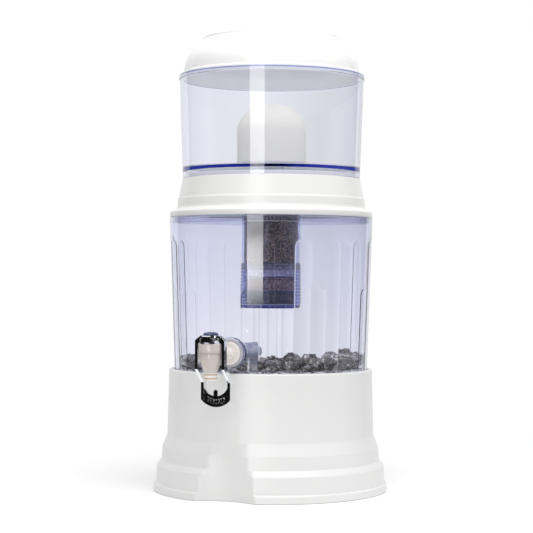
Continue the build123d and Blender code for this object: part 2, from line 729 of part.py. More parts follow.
# ---------------------------------------------------------------- upper tank
with BuildPart() as upper_tank:
    with BuildSketch(Plane.XZ) as upper_profile:
        with BuildLine():
            Polyline(
                (STEM_BORE_R, UT_FLOOR_TOP - UT_FLOOR_T),
                (r_upper(UT_FLOOR_TOP - UT_FLOOR_T) - UT_WALL, UT_FLOOR_TOP - UT_FLOOR_T),
                (r_upper(UT_Z0) - UT_WALL, UT_Z0),
                (r_upper(UT_Z0), UT_Z0),
                (r_upper(UT_Z1 - UT_RIM_H), UT_Z1 - UT_RIM_H),
                (UT_RIM_R, UT_Z1 - UT_RIM_H + 0.4),
                (UT_RIM_R, UT_Z1),
                (r_upper(UT_Z1) - UT_WALL, UT_Z1),
                (r_upper(UT_FLOOR_TOP) - UT_WALL, UT_FLOOR_TOP),
                (STEM_BORE_R, UT_FLOOR_TOP),
                close=True,
            )
        make_face()
        fillet(near(upper_profile.vertices(), UT_RIM_R, UT_Z1), 1.0)
        fillet(near(upper_profile.vertices(), r_upper(UT_FLOOR_TOP) - UT_WALL, UT_FLOOR_TOP), 2.0)
        fillet(near(upper_profile.vertices(), r_upper(UT_Z0), UT_Z0), 0.6)
    revolve(axis=Axis.Z)
upper_tank.part.label = "upper_tank"

# ---------------------------------------------------------------- ceramic dome and its fixings
DOME_Z0 = 389.0
DOME_SHOULDER = 428.5
with BuildPart() as ceramic_dome:
    with BuildSketch(Plane.XZ) as dome_profile:
        with BuildLine():
            Polyline((DOME_R - 8, DOME_Z0), (DOME_R, DOME_Z0), (DOME_R, DOME_SHOULDER))
            Spline(
                (DOME_R, DOME_SHOULDER),
                (DOME_R * 0.92, DOME_SHOULDER + (DOME_TOP - DOME_SHOULDER) * 0.39),
                (DOME_R * 0.71, DOME_SHOULDER + (DOME_TOP - DOME_SHOULDER) * 0.71),
                (DOME_R * 0.38, DOME_SHOULDER + (DOME_TOP - DOME_SHOULDER) * 0.925),
                (0, DOME_TOP),
                tangents=((0, 1), (-1, 0)),
            )
            Line((0, DOME_TOP), (0, DOME_TOP - 8))
            Spline(
                (0, DOME_TOP - 8),
                ((DOME_R - 8) * 0.71, DOME_SHOULDER + (DOME_TOP - DOME_SHOULDER - 8) * 0.71),
                (DOME_R - 8, DOME_SHOULDER),
                tangents=((1, 0), (0, -1)),
            )
            Line((DOME_R - 8, DOME_SHOULDER), (DOME_R - 8, DOME_Z0))
        make_face()
    revolve(axis=Axis.Z)
ceramic_dome.part.label = "ceramic_dome"

with BuildPart() as dome_base:
    with BuildSketch(Plane.XZ) as dome_base_profile:
        with BuildLine():
            Polyline(
                (3.4, 351.0),
                (DOME_STEM_R, 351.0),
                (DOME_STEM_R, UT_FLOOR_TOP + 2.0),
                (42.9, UT_FLOOR_TOP + 2.0),
                (42.9, 391.4),
                (41.7, 391.4),
                (41.7, DOME_Z0),
                (3.4, DOME_Z0),
                close=True,
            )
        make_face()
        fillet(near(dome_base_profile.vertices(), 42.9, UT_FLOOR_TOP + 2.0), 1.0)
    revolve(axis=Axis.Z)
dome_base.part.label = "dome_base"

with BuildPart() as dome_gasket:
    with BuildSketch(Plane.XZ):
        with Locations(((STEM_BORE_R + 36) / 2, UT_FLOOR_TOP + 1.0)):
            RectangleRounded(36 - STEM_BORE_R, 2.0, 0.5)
    revolve(axis=Axis.Z)
dome_gasket.part.label = "dome_gasket"

FLOOR_Z = UT_FLOOR_TOP - UT_FLOOR_T
with BuildPart() as floor_washer:
    with BuildSketch(Plane.XZ):
        with Locations(((STEM_BORE_R + 19) / 2, FLOOR_Z - 1.0)):
            RectangleRounded(19 - STEM_BORE_R, 2.0, 0.5)
    revolve(axis=Axis.Z)
floor_washer.part.label = "floor_washer"

with BuildPart() as stem_nut:
    with BuildSketch(Plane.XY.offset(FLOOR_Z - 9.5)):
        RegularPolygon(16.5, 6)
        Circle(DOME_STEM_R, mode=Mode.SUBTRACT)
    extrude(amount=7.5)
    chamfer(stem_nut.edges().group_by(Axis.Z)[0].filter_by(GeomType.LINE), 0.8)
stem_nut.part.label = "stem_nut"

# ---------------------------------------------------------------- filter cartridge
CAP_Z1 = 369.0
with BuildPart() as cartridge_cap:
    with BuildSketch(Plane.XZ) as cap_profile:
        with BuildLine():
            Polyline(
                (DOME_STEM_R, 351.0),
                (DOME_STEM_R, CAP_Z1),
                (14.5, CAP_Z1),
                (14.5, 357.0),
                (CUP_R, 353.0),
                (CUP_R, 338.0),
                (CART_R, 338.0),
                (CART_R, 347.0),
                (3.4, 347.0),
                (3.4, 351.0),
                close=True,
            )
        make_face()
        fillet(near(cap_profile.vertices(), CUP_R, 353.0), 2.0)
    revolve(axis=Axis.Z)
    with PolarLocations(CUP_R, 24):
        with Locations((0, 0, 344)):
            Cylinder(0.8, 10)
    with BuildSketch(Plane.XY.offset(336)):
        Circle(CART_R)
    extrude(amount=11, mode=Mode.SUBTRACT)
cartridge_cap.part.label = "cartridge_cap"

with BuildPart() as cartridge_seal:
    with BuildSketch(Plane.XZ):
        with Locations(((CART_R - 2.2 + CART_R) / 2, 346.2)):
            RectangleRounded(2.2, 1.6, 0.4)
    revolve(axis=Axis.Z)
cartridge_seal.part.label = "cartridge_seal"

with BuildPart() as cartridge_housing:
    with BuildSketch(Plane.XZ) as housing_profile:
        with BuildLine():
            Polyline(
                (CART_R - 2.0, 262.0),
                (CART_R - 0.2, 262.0),
                (CART_R - 0.2, 270.8),
                (CART_R, 271.6),
                (CART_R, 345.4),
                (CART_R - 2.0, 345.4),
                close=True,
            )
        make_face()
    revolve(axis=Axis.Z)
cartridge_housing.part.label = "cartridge_housing"

with BuildPart() as cartridge_cup:
    with BuildSketch(Plane.XZ) as lower_cup_profile:
        with BuildLine():
            Polyline(
                (0, CUP_Z0),
                (CUP_R - 0.4, CUP_Z0),
                (CUP_R, CUP_Z0 + 5.0),
                (CUP_R, CUP_Z1),
                (CART_R - 0.2, CUP_Z1),
                (CART_R - 0.2, 262.0),
                (CART_R - 2.0, 262.0),
                (CART_R - 2.0, CUP_Z0 + 4.0),
                (0, CUP_Z0 + 4.0),
                close=True,
            )
        make_face()
        fillet(near(lower_cup_profile.vertices(), CUP_R - 0.4, CUP_Z0), 1.5)
        # grip rings
        for k in range(12):
            with Locations((CUP_R - 0.1, 224.0 + 4.0 * k)):
                Circle(0.75)
    revolve(axis=Axis.Z)
    # outlet slots in the floor of the cup
    with BuildSketch(Plane.XY.offset(CUP_Z0 - 1)):
        with PolarLocations(19, 12):
            SlotOverall(18, 3.0)
        Circle(3.0)
    extrude(amount=6, mode=Mode.SUBTRACT)
cartridge_cup.part.label = "cartridge_cup"

with BuildPart() as outlet_screen:
    with BuildSketch(Plane.XY.offset(CUP_Z0 + 4.0)):
        Circle(BED_R)
    extrude(amount=0.9)
    with BuildSketch(Plane.XY.offset(CUP_Z0 + 3.0)):
        with PolarLocations(26, 24):
            Circle(1.1)
        with PolarLocations(19, 18):
            Circle(1.1)
        with PolarLocations(12, 12):
            Circle(1.1)
    extrude(amount=3, mode=Mode.SUBTRACT)
outlet_screen.part.label = "outlet_screen"

PAD_ZS = ((236.4, 238.0), (252.8, 254.4), (268.8, 270.4), (343.6, 345.4))
BEDS = {
    "dark_mineral_bed": (222.1, 236.2),
    "brown_mineral_bed": (238.2, 252.6),
    "pale_mineral_bed": (254.6, 268.6),
    "carbon_bed": (270.6, 343.4),
}
with BuildPart() as filter_pads:
    for z0, z1 in PAD_ZS:
        with BuildSketch(Plane.XY.offset(z0)):
            Circle(BED_R)
        extrude(amount=z1 - z0)
filter_pads.part.label = "filter_pads"

with BuildPart() as dark_mineral_bed:
    with BuildSketch(Plane.XY.offset(BEDS["dark_mineral_bed"][0])):
        Circle(BED_R)
    extrude(amount=BEDS["dark_mineral_bed"][1] - BEDS["dark_mineral_bed"][0])
dark_mineral_bed.part.label = "dark_mineral_bed"

with BuildPart() as brown_mineral_bed:
    with BuildSketch(Plane.XY.offset(BEDS["brown_mineral_bed"][0])):
        Circle(BED_R)
    extrude(amount=BEDS["brown_mineral_bed"][1] - BEDS["brown_mineral_bed"][0])
brown_mineral_bed.part.label = "brown_mineral_bed"

with BuildPart() as pale_mineral_bed:
    with BuildSketch(Plane.XY.offset(BEDS["pale_mineral_bed"][0])):
        Circle(BED_R)
    extrude(amount=BEDS["pale_mineral_bed"][1] - BEDS["pale_mineral_bed"][0])
pale_mineral_bed.part.label = "pale_mineral_bed"

with BuildPart() as carbon_bed:
    with BuildSketch(Plane.XY.offset(BEDS["carbon_bed"][0])):
        Circle(BED_R)
    extrude(amount=BEDS["carbon_bed"][1] - BEDS["carbon_bed"][0])
carbon_bed.part.label = "carbon_bed"

# ---------------------------------------------------------------- lid
with BuildPart() as lid:
    with BuildSketch(Plane.XZ) as lid_profile:
        with BuildLine():
            Polyline(
                (LID_BRIM_R, LID_Z0),
                (LID_BRIM_R, LID_Z0 + 2.2),
                (105.3, LID_Z0 + 4.0),
            )
            Spline(
                (105.3, LID_Z0 + 4.0),
                (104.8, 506.0),
                (102.4, 514.6),
                (98.2, 521.9),
                (92.4, 529.1),
                (84.6, 537.0),
                tangents=((-0.02, 1), (-1, 0.95)),
            )
            Polyline((84.6, 537.0), (83.2, 537.6), (82.7, 540.6), (81.2, 542.2))
            Spline((81.2, 542.2), (50.0, 544.0), (0, 545.0), tangents=((-1, 0.12), (-1, 0)))
            Line((0, 545.0), (0, 545.0 - LID_T))
            Spline((0, 545.0 - LID_T), (50.0, 544.0 - LID_T), (79.6, 542.2 - LID_T), tangents=((1, 0), (1, -0.12)))
            Spline(
                (79.6, 542.2 - LID_T),
                (90.3, 527.4),
                (96.0, 520.3),
                (99.9, 513.6),
                (102.2, 505.6),
                (102.6, LID_Z0 + 4.0),
                tangents=((1, -1.1), (0.02, -1)),
            )
            Polyline(
                (102.6, LID_Z0 + 4.0),
                (103.2, LID_Z0 - 4.6),
                (LID_PLUG_R - 0.6, LID_Z0 - 4.6),
                (LID_PLUG_R, LID_Z0 - 3.6),
                (LID_PLUG_R, LID_Z0),
                (LID_BRIM_R, LID_Z0),
            )
        make_face()
    revolve(axis=Axis.Z)
lid.part.label = "lid"

# ---------------------------------------------------------------- files
for piece in (
    base_stand, lower_tank, mineral_sand, mineral_stones, tap_body, tap_bonnet, lever_pin, tap_lever, valve_stem, valve_cup,
    valve_spring, spout_tip, tap_washer_outer, tap_washer_inner, tap_nut, inlet_elbow, dip_tube, collar, collar_seal, upper_tank,
    ceramic_dome, dome_base, dome_gasket, floor_washer, stem_nut, cartridge_cap, cartridge_seal, cartridge_housing, cartridge_cup,
    outlet_screen, filter_pads, dark_mineral_bed, brown_mineral_bed, pale_mineral_bed, carbon_bed, lid,
):
    export_step(piece.part, "parts/" + piece.part.label + ".step")
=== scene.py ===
import math

import bmesh
import bpy
import numpy as np
from mathutils import Matrix, Vector


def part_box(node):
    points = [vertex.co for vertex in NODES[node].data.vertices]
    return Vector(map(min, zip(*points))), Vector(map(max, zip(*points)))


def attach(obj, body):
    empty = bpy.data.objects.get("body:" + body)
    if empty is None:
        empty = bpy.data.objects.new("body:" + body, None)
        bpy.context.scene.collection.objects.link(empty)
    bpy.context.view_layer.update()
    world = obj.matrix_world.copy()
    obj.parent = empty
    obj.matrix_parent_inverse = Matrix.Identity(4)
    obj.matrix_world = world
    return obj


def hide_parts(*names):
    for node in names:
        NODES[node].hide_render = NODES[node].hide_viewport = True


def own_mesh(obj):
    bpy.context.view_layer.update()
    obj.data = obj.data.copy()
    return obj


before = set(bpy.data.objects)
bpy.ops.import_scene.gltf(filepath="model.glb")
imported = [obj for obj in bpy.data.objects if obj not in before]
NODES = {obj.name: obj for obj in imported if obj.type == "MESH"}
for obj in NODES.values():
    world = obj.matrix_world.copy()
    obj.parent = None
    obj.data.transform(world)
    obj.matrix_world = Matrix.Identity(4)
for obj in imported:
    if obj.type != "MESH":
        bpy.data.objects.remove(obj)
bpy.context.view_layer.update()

MM = 0.001
scene = bpy.context.scene
scene.view_settings.view_transform = "Standard"
scene.view_settings.look = "None"
scene.view_settings.exposure = 0.0
scene.view_settings.gamma = 1.0


# ================================================================ small tools
def link(obj):
    scene.collection.objects.link(obj)
    return obj


def mesh_object(name, verts_mm, faces, smooth=True):
    me = bpy.data.meshes.new(name)
    me.from_pydata([tuple(v) for v in (np.asarray(verts_mm, float) * MM)], [], [tuple(int(i) for i in f) for f in faces])
    me.validate()
    bm = bmesh.new()
    bm.from_mesh(me)
    bmesh.ops.recalc_face_normals(bm, faces=bm.faces)
    bm.to_mesh(me)
    bm.free()
    me.polygons.foreach_set("use_smooth", [smooth] * len(me.polygons))
    me.update()
    return link(bpy.data.objects.new(name, me))


def sharpen(obj, degrees):
    obj.data.set_sharp_from_angle(angle=math.radians(degrees))


def weighted(obj):
    m = obj.modifiers.new("even_normals", "WEIGHTED_NORMAL")
    m.mode = "FACE_AREA"
    m.weight = 50
    m.keep_sharp = True
    return obj


def bevelled(obj, width, segments=3, angle=30):
    m = obj.modifiers.new("edge_round", "BEVEL")
    m.width = width * MM
    m.segments = segments
    m.limit_method = "ANGLE"
    m.angle_limit = math.radians(angle)
    m.use_clamp_overlap = True
    m.miter_outer = "MITER_ARC"
    return obj


def boolean(target, other, how):
    """Applies a boolean of target with other, and removes other."""
    m = target.modifiers.new("cut", "BOOLEAN")
    m.operation = how
    m.solver = "EXACT"
    m.object = other
    bpy.context.view_layer.update()
    dg = bpy.context.evaluated_depsgraph_get()
    me = bpy.data.meshes.new_from_object(target.evaluated_get(dg))
    target.modifiers.remove(m)
    old = target.data
    target.data = me
    bpy.data.meshes.remove(old)
    bpy.data.objects.remove(other)
    return target


def bake_modifiers(obj):
    bpy.context.view_layer.update()
    dg = bpy.context.evaluated_depsgraph_get()
    me = bpy.data.meshes.new_from_object(obj.evaluated_get(dg))
    obj.modifiers.clear()
    old = obj.data
    obj.data = me
    bpy.data.meshes.remove(old)
    return obj


def rounded(points, closed=True, step=11.0):
    """Corner list (r, z, fillet radius) to a list of points with the fillets drawn as arcs."""
    out = []
    n = len(points)
    for i, p in enumerate(points):
        here = np.array(p[:2], float)
        f = p[2] if len(p) > 2 else 0.0
        if f <= 0 or (not closed and i in (0, n - 1)):
            out.append(tuple(here))
            continue
        va = np.array(points[i - 1][:2], float) - here
        vb = np.array(points[(i + 1) % n][:2], float) - here
        la, lb = np.linalg.norm(va), np.linalg.norm(vb)
        va, vb = va / la, vb / lb
        ang = math.acos(max(-1.0, min(1.0, float(va @ vb))))
        if ang > math.radians(177):
            out.append(tuple(here))
            continue
        d = min(f / math.tan(ang / 2), 0.49 * la, 0.49 * lb)
        f = d * math.tan(ang / 2)
        p1, p2 = here + va * d, here + vb * d
        mid = (va + vb) / np.linalg.norm(va + vb)
        c = here + mid * (f / math.sin(ang / 2))
        a1 = math.atan2(*(p1 - c)[::-1])
        a2 = math.atan2(*(p2 - c)[::-1])
        sweep = (a2 - a1 + math.pi) % (2 * math.pi) - math.pi
        k = max(2, math.ceil(abs(sweep) / math.radians(step)))
        for j in range(k + 1):
            t = a1 + sweep * j / k
            out.append((c[0] + f * math.cos(t), c[1] + f * math.sin(t)))
    return out


def spline(points, t0, t1, n):
    """A smooth curve through points with the end directions t0 and t1, by chord length."""
    p = np.array(points, float)
    s = np.concatenate([[0], np.cumsum(np.linalg.norm(np.diff(p, axis=0), axis=1))])
    m = len(p)
    h = np.diff(s)
    ends = [np.array(t, float) / np.linalg.norm(t) for t in (t0, t1)]
    a = np.zeros((m, m))
    b = np.zeros((m, 2))
    a[0, 0] = a[-1, -1] = 1
    b[0], b[-1] = ends
    for i in range(1, m - 1):
        a[i, i - 1], a[i, i], a[i, i + 1] = h[i], 2 * (h[i - 1] + h[i]), h[i - 1]
        b[i] = 3 * (h[i] * (p[i] - p[i - 1]) / h[i - 1] + h[i - 1] * (p[i + 1] - p[i]) / h[i])
    d = np.linalg.solve(a, b)
    out = []
    for u in np.linspace(0, s[-1], n):
        i = min(max(int(np.searchsorted(s, u)) - 1, 0), m - 2)
        x = (u - s[i]) / h[i]
        q = (
            (2 * x**3 - 3 * x**2 + 1) * p[i]
            + (x**3 - 2 * x**2 + x) * h[i] * d[i]
            + (-2 * x**3 + 3 * x**2) * p[i + 1]
            + (x**3 - x**2) * h[i] * d[i + 1]
        )
        out.append(tuple(q))
    return out


def clean(points, eps=1e-4):
    out = []
    for p in points:
        if not out or abs(p[0] - out[-1][0]) + abs(p[1] - out[-1][1]) > eps:
            out.append((float(p[0]), float(p[1])))
    return out


def lathe(name, profile, seg=256, centre=(0.0, 0.0), sharp=32, reshape=None, angles=None):
    """A solid of revolution about a vertical axis. The profile is a loop, or a chain between two points on the axis."""
    prof = clean(profile)
    chain = prof[0][0] < 1e-6 and prof[-1][0] < 1e-6
    if not chain and abs(prof[0][0] - prof[-1][0]) + abs(prof[0][1] - prof[-1][1]) < 1e-4:
        prof = prof[:-1]
    th = np.linspace(0, 2 * math.pi, seg, endpoint=False) if angles is None else np.asarray(angles, float)
    seg = len(th)
    verts, start = [], []
    for r, z in prof:
        start.append(len(verts))
        if r < 1e-6:
            verts.append((centre[0], centre[1], z))
        else:
            rr = np.full(seg, r) if reshape is None else reshape(r, z, th)
            verts += list(zip(centre[0] + rr * np.sin(th), centre[1] - rr * np.cos(th), np.full(seg, z)))
    faces = []
    n = len(prof)
    for i in range(n - 1 if chain else n):
        j = (i + 1) % n
        pi, pj = prof[i][0] < 1e-6, prof[j][0] < 1e-6
        for k in range(seg):
            k2 = (k + 1) % seg
            if pi and pj:
                continue
            if pi:
                faces.append((start[i], start[j] + k, start[j] + k2))
            elif pj:
                faces.append((start[i] + k, start[i] + k2, start[j]))
            else:
                faces.append((start[i] + k, start[i] + k2, start[j] + k2, start[j] + k))
    obj = mesh_object(name, verts, faces)
    if sharp:
        sharpen(obj, sharp)
    return obj


def prism(name, outline, plane, a0, a1):
    """A closed prism. outline is drawn in plane "xz" (pushed along y) or "yz" (pushed along x) or "xy" (pushed along z)."""
    put = {"xz": lambda u, v, a: (u, a, v), "yz": lambda u, v, a: (a, u, v), "xy": lambda u, v, a: (u, v, a)}[plane]
    n = len(outline)
    verts = [put(u, v, a) for a in (a0, a1) for u, v in outline]
    faces = [tuple(range(n)), tuple(range(n, 2 * n))] + [(i, (i + 1) % n, n + (i + 1) % n, n + i) for i in range(n)]
    return mesh_object(name, verts, faces, smooth=False)


def finish_piece(obj, body, material, stands_for=()):
    obj.data.materials.clear()
    obj.data.materials.append(material)
    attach(obj, body)
    if stands_for:
        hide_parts(*stands_for)
    return obj


# ---------------------------------------------------------------- repeatable noise
_tab = np.random.RandomState(71)
_perm = _tab.permutation(256)
_grad = _tab.normal(size=(256, 3))
_grad /= np.linalg.norm(_grad, axis=1)[:, None]
_rand = _tab.rand(256, 4)


def _cell(ix, iy, iz):
    return _perm[(_perm[(_perm[ix & 255] + iy) & 255] + iz) & 255]


def perlin(p):
    p = np.asarray(p, float)
    i = np.floor(p).astype(int)
    f = p - i
    u = f * f * f * (f * (f * 6 - 15) + 10)
    total = np.zeros(len(p))
    for dx in (0, 1):
        for dy in (0, 1):
            for dz in (0, 1):
                g = _grad[_cell(i[:, 0] + dx, i[:, 1] + dy, i[:, 2] + dz)]
                w = (u[:, 0] if dx else 1 - u[:, 0]) * (u[:, 1] if dy else 1 - u[:, 1]) * (u[:, 2] if dz else 1 - u[:, 2])
                total += w * (g * (f - np.array([dx, dy, dz]))).sum(1)
    return total * 1.5


def fbm(p, octaves=4, gain=0.5):
    total, amp = np.zeros(len(p)), 1.0
    for k in range(octaves):
        total += amp * perlin(np.asarray(p) * 2.03**k + 17.3 * k)
        amp *= gain
    return total


def cells2(u, v, size, wrap=None, seed=0):
    """Distance to the nearest and second-nearest of a scatter of points in a plane, and the nearest one's number, in units of size."""
    su = size if wrap is None else wrap / round(wrap / size)
    turn = None if wrap is None else round(wrap / size)
    cu, cv = np.floor(u / su).astype(int), np.floor(v / size).astype(int)
    best, second, which = np.full(u.shape, 1e9), np.full(u.shape, 1e9), np.zeros(u.shape, int)
    for a in (-1, 0, 1):
        for b in (-1, 0, 1):
            iu, iv = cu + a, cv + b
            ih = iu if turn is None else iu % turn
            h = _cell(ih + 31 * seed, iv + 57, np.full(u.shape, seed))
            pu, pv = (iu + 0.1 + 0.8 * _rand[h, 0]) * su, (iv + 0.1 + 0.8 * _rand[h, 1]) * size
            d = np.hypot((u - pu), (v - pv)) / size
            nearer = d < best
            second = np.where(nearer, best, np.minimum(second, d))
            which = np.where(nearer, h, which)
            best = np.where(nearer, d, best)
    return best, second, which


# ================================================================ materials
class Paint:
    """A node material around one Principled shader."""

    def __init__(self, name):
        self.mat = bpy.data.materials.new(name)
        self.mat.use_nodes = True
        self.nt = self.mat.node_tree
        self.nt.nodes.clear()
        self.out = self.nt.nodes.new("ShaderNodeOutputMaterial")
        self.b = self.nt.nodes.new("ShaderNodeBsdfPrincipled")
        self.nt.links.new(self.b.outputs[0], self.out.inputs["Surface"])
        self.co = self.nt.nodes.new("ShaderNodeTexCoord").outputs["Object"]

    def set(self, **values):
        for k, v in values.items():
            self.b.inputs[k.replace("_", " ")].default_value = v
        return self

    def into(self, socket, name):
        self.nt.links.new(socket, self.b.inputs[name])
        return self

    def noise(self, scale, detail=3.0, rough=0.5, distort=0.0, vec=None):
        n = self.nt.nodes.new("ShaderNodeTexNoise")
        n.inputs["Scale"].default_value = scale
        n.inputs["Detail"].default_value = detail
        n.inputs["Roughness"].default_value = rough
        n.inputs["Distortion"].default_value = distort
        self.nt.links.new(vec or self.co, n.inputs["Vector"])
        return n.outputs["Fac"]

    def voronoi(self, scale, out="Color", feature="F1", vec=None, rand=1.0):
        n = self.nt.nodes.new("ShaderNodeTexVoronoi")
        n.feature = feature
        n.inputs["Scale"].default_value = scale
        n.inputs["Randomness"].default_value = rand
        self.nt.links.new(vec or self.co, n.inputs["Vector"])
        return n.outputs[out]

    def stretch(self, x, y, z):
        n = self.nt.nodes.new("ShaderNodeMapping")
        n.inputs["Scale"].default_value = (x, y, z)
        self.nt.links.new(self.co, n.inputs["Vector"])
        return n.outputs[0]

    def ramp(self, fac, stops, mode="LINEAR"):
        n = self.nt.nodes.new("ShaderNodeValToRGB")
        n.color_ramp.interpolation = mode
        els = n.color_ramp.elements
        while len(els) > len(stops):
            els.remove(els[-1])
        while len(els) < len(stops):
            els.new(0.5)
        for e, (pos, col) in zip(els, stops):
            e.position = pos
            e.color = (*col, 1.0) if len(col) == 3 else col
        self.nt.links.new(fac, n.inputs["Fac"])
        return n.outputs["Color"]

    def span(self, fac, lo, hi, from_lo=0.0, from_hi=1.0):
        n = self.nt.nodes.new("ShaderNodeMapRange")
        n.inputs["From Min"].default_value = from_lo
        n.inputs["From Max"].default_value = from_hi
        n.inputs["To Min"].default_value = lo
        n.inputs["To Max"].default_value = hi
        self.nt.links.new(fac, n.inputs["Value"])
        return n.outputs["Result"]

    def mix(self, fac, a, b, blend="MIX"):
        n = self.nt.nodes.new("ShaderNodeMix")
        n.data_type = "RGBA"
        n.blend_type = blend
        for s, v in ((n.inputs[0], fac), (n.inputs[6], a), (n.inputs[7], b)):
            if isinstance(v, bpy.types.NodeSocket):
                self.nt.links.new(v, s)
            else:
                s.default_value = v if not isinstance(v, tuple) or len(v) != 3 else (*v, 1.0)
        return n.outputs[2]

    def math(self, op, a, b=0.0):
        n = self.nt.nodes.new("ShaderNodeMath")
        n.operation = op
        for s, v in zip(n.inputs, (a, b)):
            if isinstance(v, bpy.types.NodeSocket):
                self.nt.links.new(v, s)
            else:
                s.default_value = v
        return n.outputs[0]

    def bump(self, height, strength, distance, under=None):
        n = self.nt.nodes.new("ShaderNodeBump")
        n.inputs["Strength"].default_value = strength
        n.inputs["Distance"].default_value = distance
        self.nt.links.new(height, n.inputs["Height"])
        if under is not None:
            self.nt.links.new(under, n.inputs["Normal"])
        self.nt.links.new(n.outputs[0], self.b.inputs["Normal"])
        return n.outputs[0]

    def thin(self, shade):
        """Lets some lamp light through a thin white wall."""
        path = self.nt.nodes.new("ShaderNodeLightPath")
        see = self.nt.nodes.new("ShaderNodeBsdfTransparent")
        see.inputs["Color"].default_value = (shade, shade, shade, 1.0)
        m = self.nt.nodes.new("ShaderNodeMixShader")
        self.nt.links.new(path.outputs["Is Shadow Ray"], m.inputs[0])
        self.nt.links.new(self.b.outputs[0], m.inputs[1])
        self.nt.links.new(see.outputs[0], m.inputs[2])
        self.nt.links.new(m.outputs[0], self.out.inputs["Surface"])
        return self

    def clear(self, shade, absorb, density):
        """Lets lamps through the solid and tints it by depth."""
        path = self.nt.nodes.new("ShaderNodeLightPath")
        see = self.nt.nodes.new("ShaderNodeBsdfTransparent")
        see.inputs["Color"].default_value = (*shade, 1.0)
        last = self.b.outputs[0]
        for which in ("Is Shadow Ray", "Is Diffuse Ray"):
            m = self.nt.nodes.new("ShaderNodeMixShader")
            self.nt.links.new(path.outputs[which], m.inputs[0])
            self.nt.links.new(last, m.inputs[1])
            self.nt.links.new(see.outputs[0], m.inputs[2])
            last = m.outputs[0]
        self.nt.links.new(last, self.out.inputs["Surface"])
        v = self.nt.nodes.new("ShaderNodeVolumeAbsorption")
        v.inputs["Color"].default_value = (*absorb, 1.0)
        v.inputs["Density"].default_value = density
        self.nt.links.new(v.outputs[0], self.out.inputs["Volume"])
        return self


def moulded(name, dark, light, rough=(0.26, 0.36), grain=90, depth=0.0003, coat=0.0, painted_shade=None, other=None):
    p = Paint(name)
    tint = p.ramp(p.noise(11, 4, 0.55), [(0.3, dark), (0.7, light)])
    if painted_shade:
        # painted shade: a little greyer towards the lower edge, standing in for the shade under the collar's lip
        z0, z1, level = painted_shade
        at = p.nt.nodes.new("ShaderNodeSeparateXYZ")
        p.nt.links.new(p.co, at.inputs[0])
        tint = p.mix(1.0, tint, p.ramp(p.span(at.outputs[2], 0.0, 1.0, z0, z1), [(0.0, (level, level, level)), (1.0, (1.0, 1.0, 1.0))]), "MULTIPLY")
    if other:
        # another colour beyond a place along one axis
        axis, v0, v1, colour = other
        at = p.nt.nodes.new("ShaderNodeSeparateXYZ")
        p.nt.links.new(p.co, at.inputs[0])
        tint = p.mix(p.span(at.outputs[axis], 0.0, 1.0, v0, v1), tint, colour)
    p.into(tint, "Base Color")
    p.into(p.span(p.noise(9, 1, 0.4), *rough, 0.3, 0.7), "Roughness")
    p.bump(p.noise(grain, 1, 0.3), 0.02, depth)
    p.set(IOR=1.5, Coat_Weight=coat, Coat_Roughness=0.08)
    return p


white = moulded("white_plastic", (0.73, 0.73, 0.725), (0.76, 0.76, 0.755), (0.34, 0.42)).mat
lid_white = moulded("lid_white_plastic", (0.82, 0.82, 0.815), (0.86, 0.86, 0.855)).thin(0.73).mat
# the collar's lower lip gets painted shade, greyer towards its edge
collar_white = moulded("collar_white_plastic", (0.765, 0.762, 0.75), (0.795, 0.792, 0.78), painted_shade=(0.326, 0.334, 0.82)).mat
cream = moulded("tap_cream_plastic", (0.74, 0.69, 0.645), (0.82, 0.78, 0.74), (0.14, 0.24), 160, 0.0002, other=(1, -0.152, -0.158, (0.56, 0.5, 0.465))).mat
bonnet = moulded("tap_bonnet_plastic", (0.53, 0.475, 0.44), (0.6, 0.54, 0.5), (0.14, 0.24), 160, 0.0002, other=(2, 0.1803, 0.1806, (0.02, 0.02, 0.024))).mat
tip = Paint("spout_silicone")
height = tip.nt.nodes.new("ShaderNodeSeparateXYZ")
tip.nt.links.new(tip.co, height.inputs[0])
rings = tip.ramp(
    tip.span(height.outputs[2], 0.0, 1.0, 0.1398, 0.1482),
    [(0.17, (0.0, 0.0, 0.0)), (0.21, (1.0, 1.0, 1.0)), (0.34, (1.0, 1.0, 1.0)), (0.38, (0.0, 0.0, 0.0)), (0.67, (0.0, 0.0, 0.0)), (0.71, (1.0, 1.0, 1.0)), (0.84, (1.0, 1.0, 1.0)), (0.88, (0.0, 0.0, 0.0))],
)
milk = tip.ramp(tip.noise(120, 3), [(0.3, (0.8, 0.77, 0.74)), (0.7, (0.87, 0.85, 0.83))])
tip.into(tip.mix(rings, milk, (0.5, 0.34, 0.25)), "Base Color")
tip.into(tip.span(tip.noise(200, 3), 0.32, 0.46, 0.3, 0.7), "Roughness")
tip.bump(tip.noise(160, 2), 0.03, 0.0002)
tip.set(IOR=1.43)
tip = tip.mat
fitting = Paint("blue_grey_fitting")
fitting.into(fitting.ramp(fitting.noise(70, 4, 0.6), [(0.3, (0.27, 0.32, 0.48)), (0.5, (0.6, 0.64, 0.77)), (0.7, (0.9, 0.92, 0.97))]), "Base Color")
fitting.into(fitting.span(fitting.noise(160, 3), 0.22, 0.36, 0.3, 0.7), "Roughness")
fitting.bump(fitting.noise(420, 3), 0.15, 0.00015)
fitting.set(IOR=1.5, Transmission_Weight=0.25)
fitting = fitting.mat
tube = Paint("dip_tube_plastic")
tube.into(tube.ramp(tube.noise(90, 3), [(0.3, (0.96, 0.96, 0.965)), (0.7, (0.99, 0.99, 0.992))]), "Base Color")
tube.into(tube.span(tube.noise(200, 3), 0.12, 0.24, 0.3, 0.7), "Roughness")
tube.bump(tube.noise(380, 2), 0.1, 0.0001)
tube.set(IOR=1.5)
tube = tube.mat
washer = moulded("grey_silicone", (0.36, 0.36, 0.4), (0.46, 0.46, 0.5), (0.4, 0.55), 200, 0.0002).mat

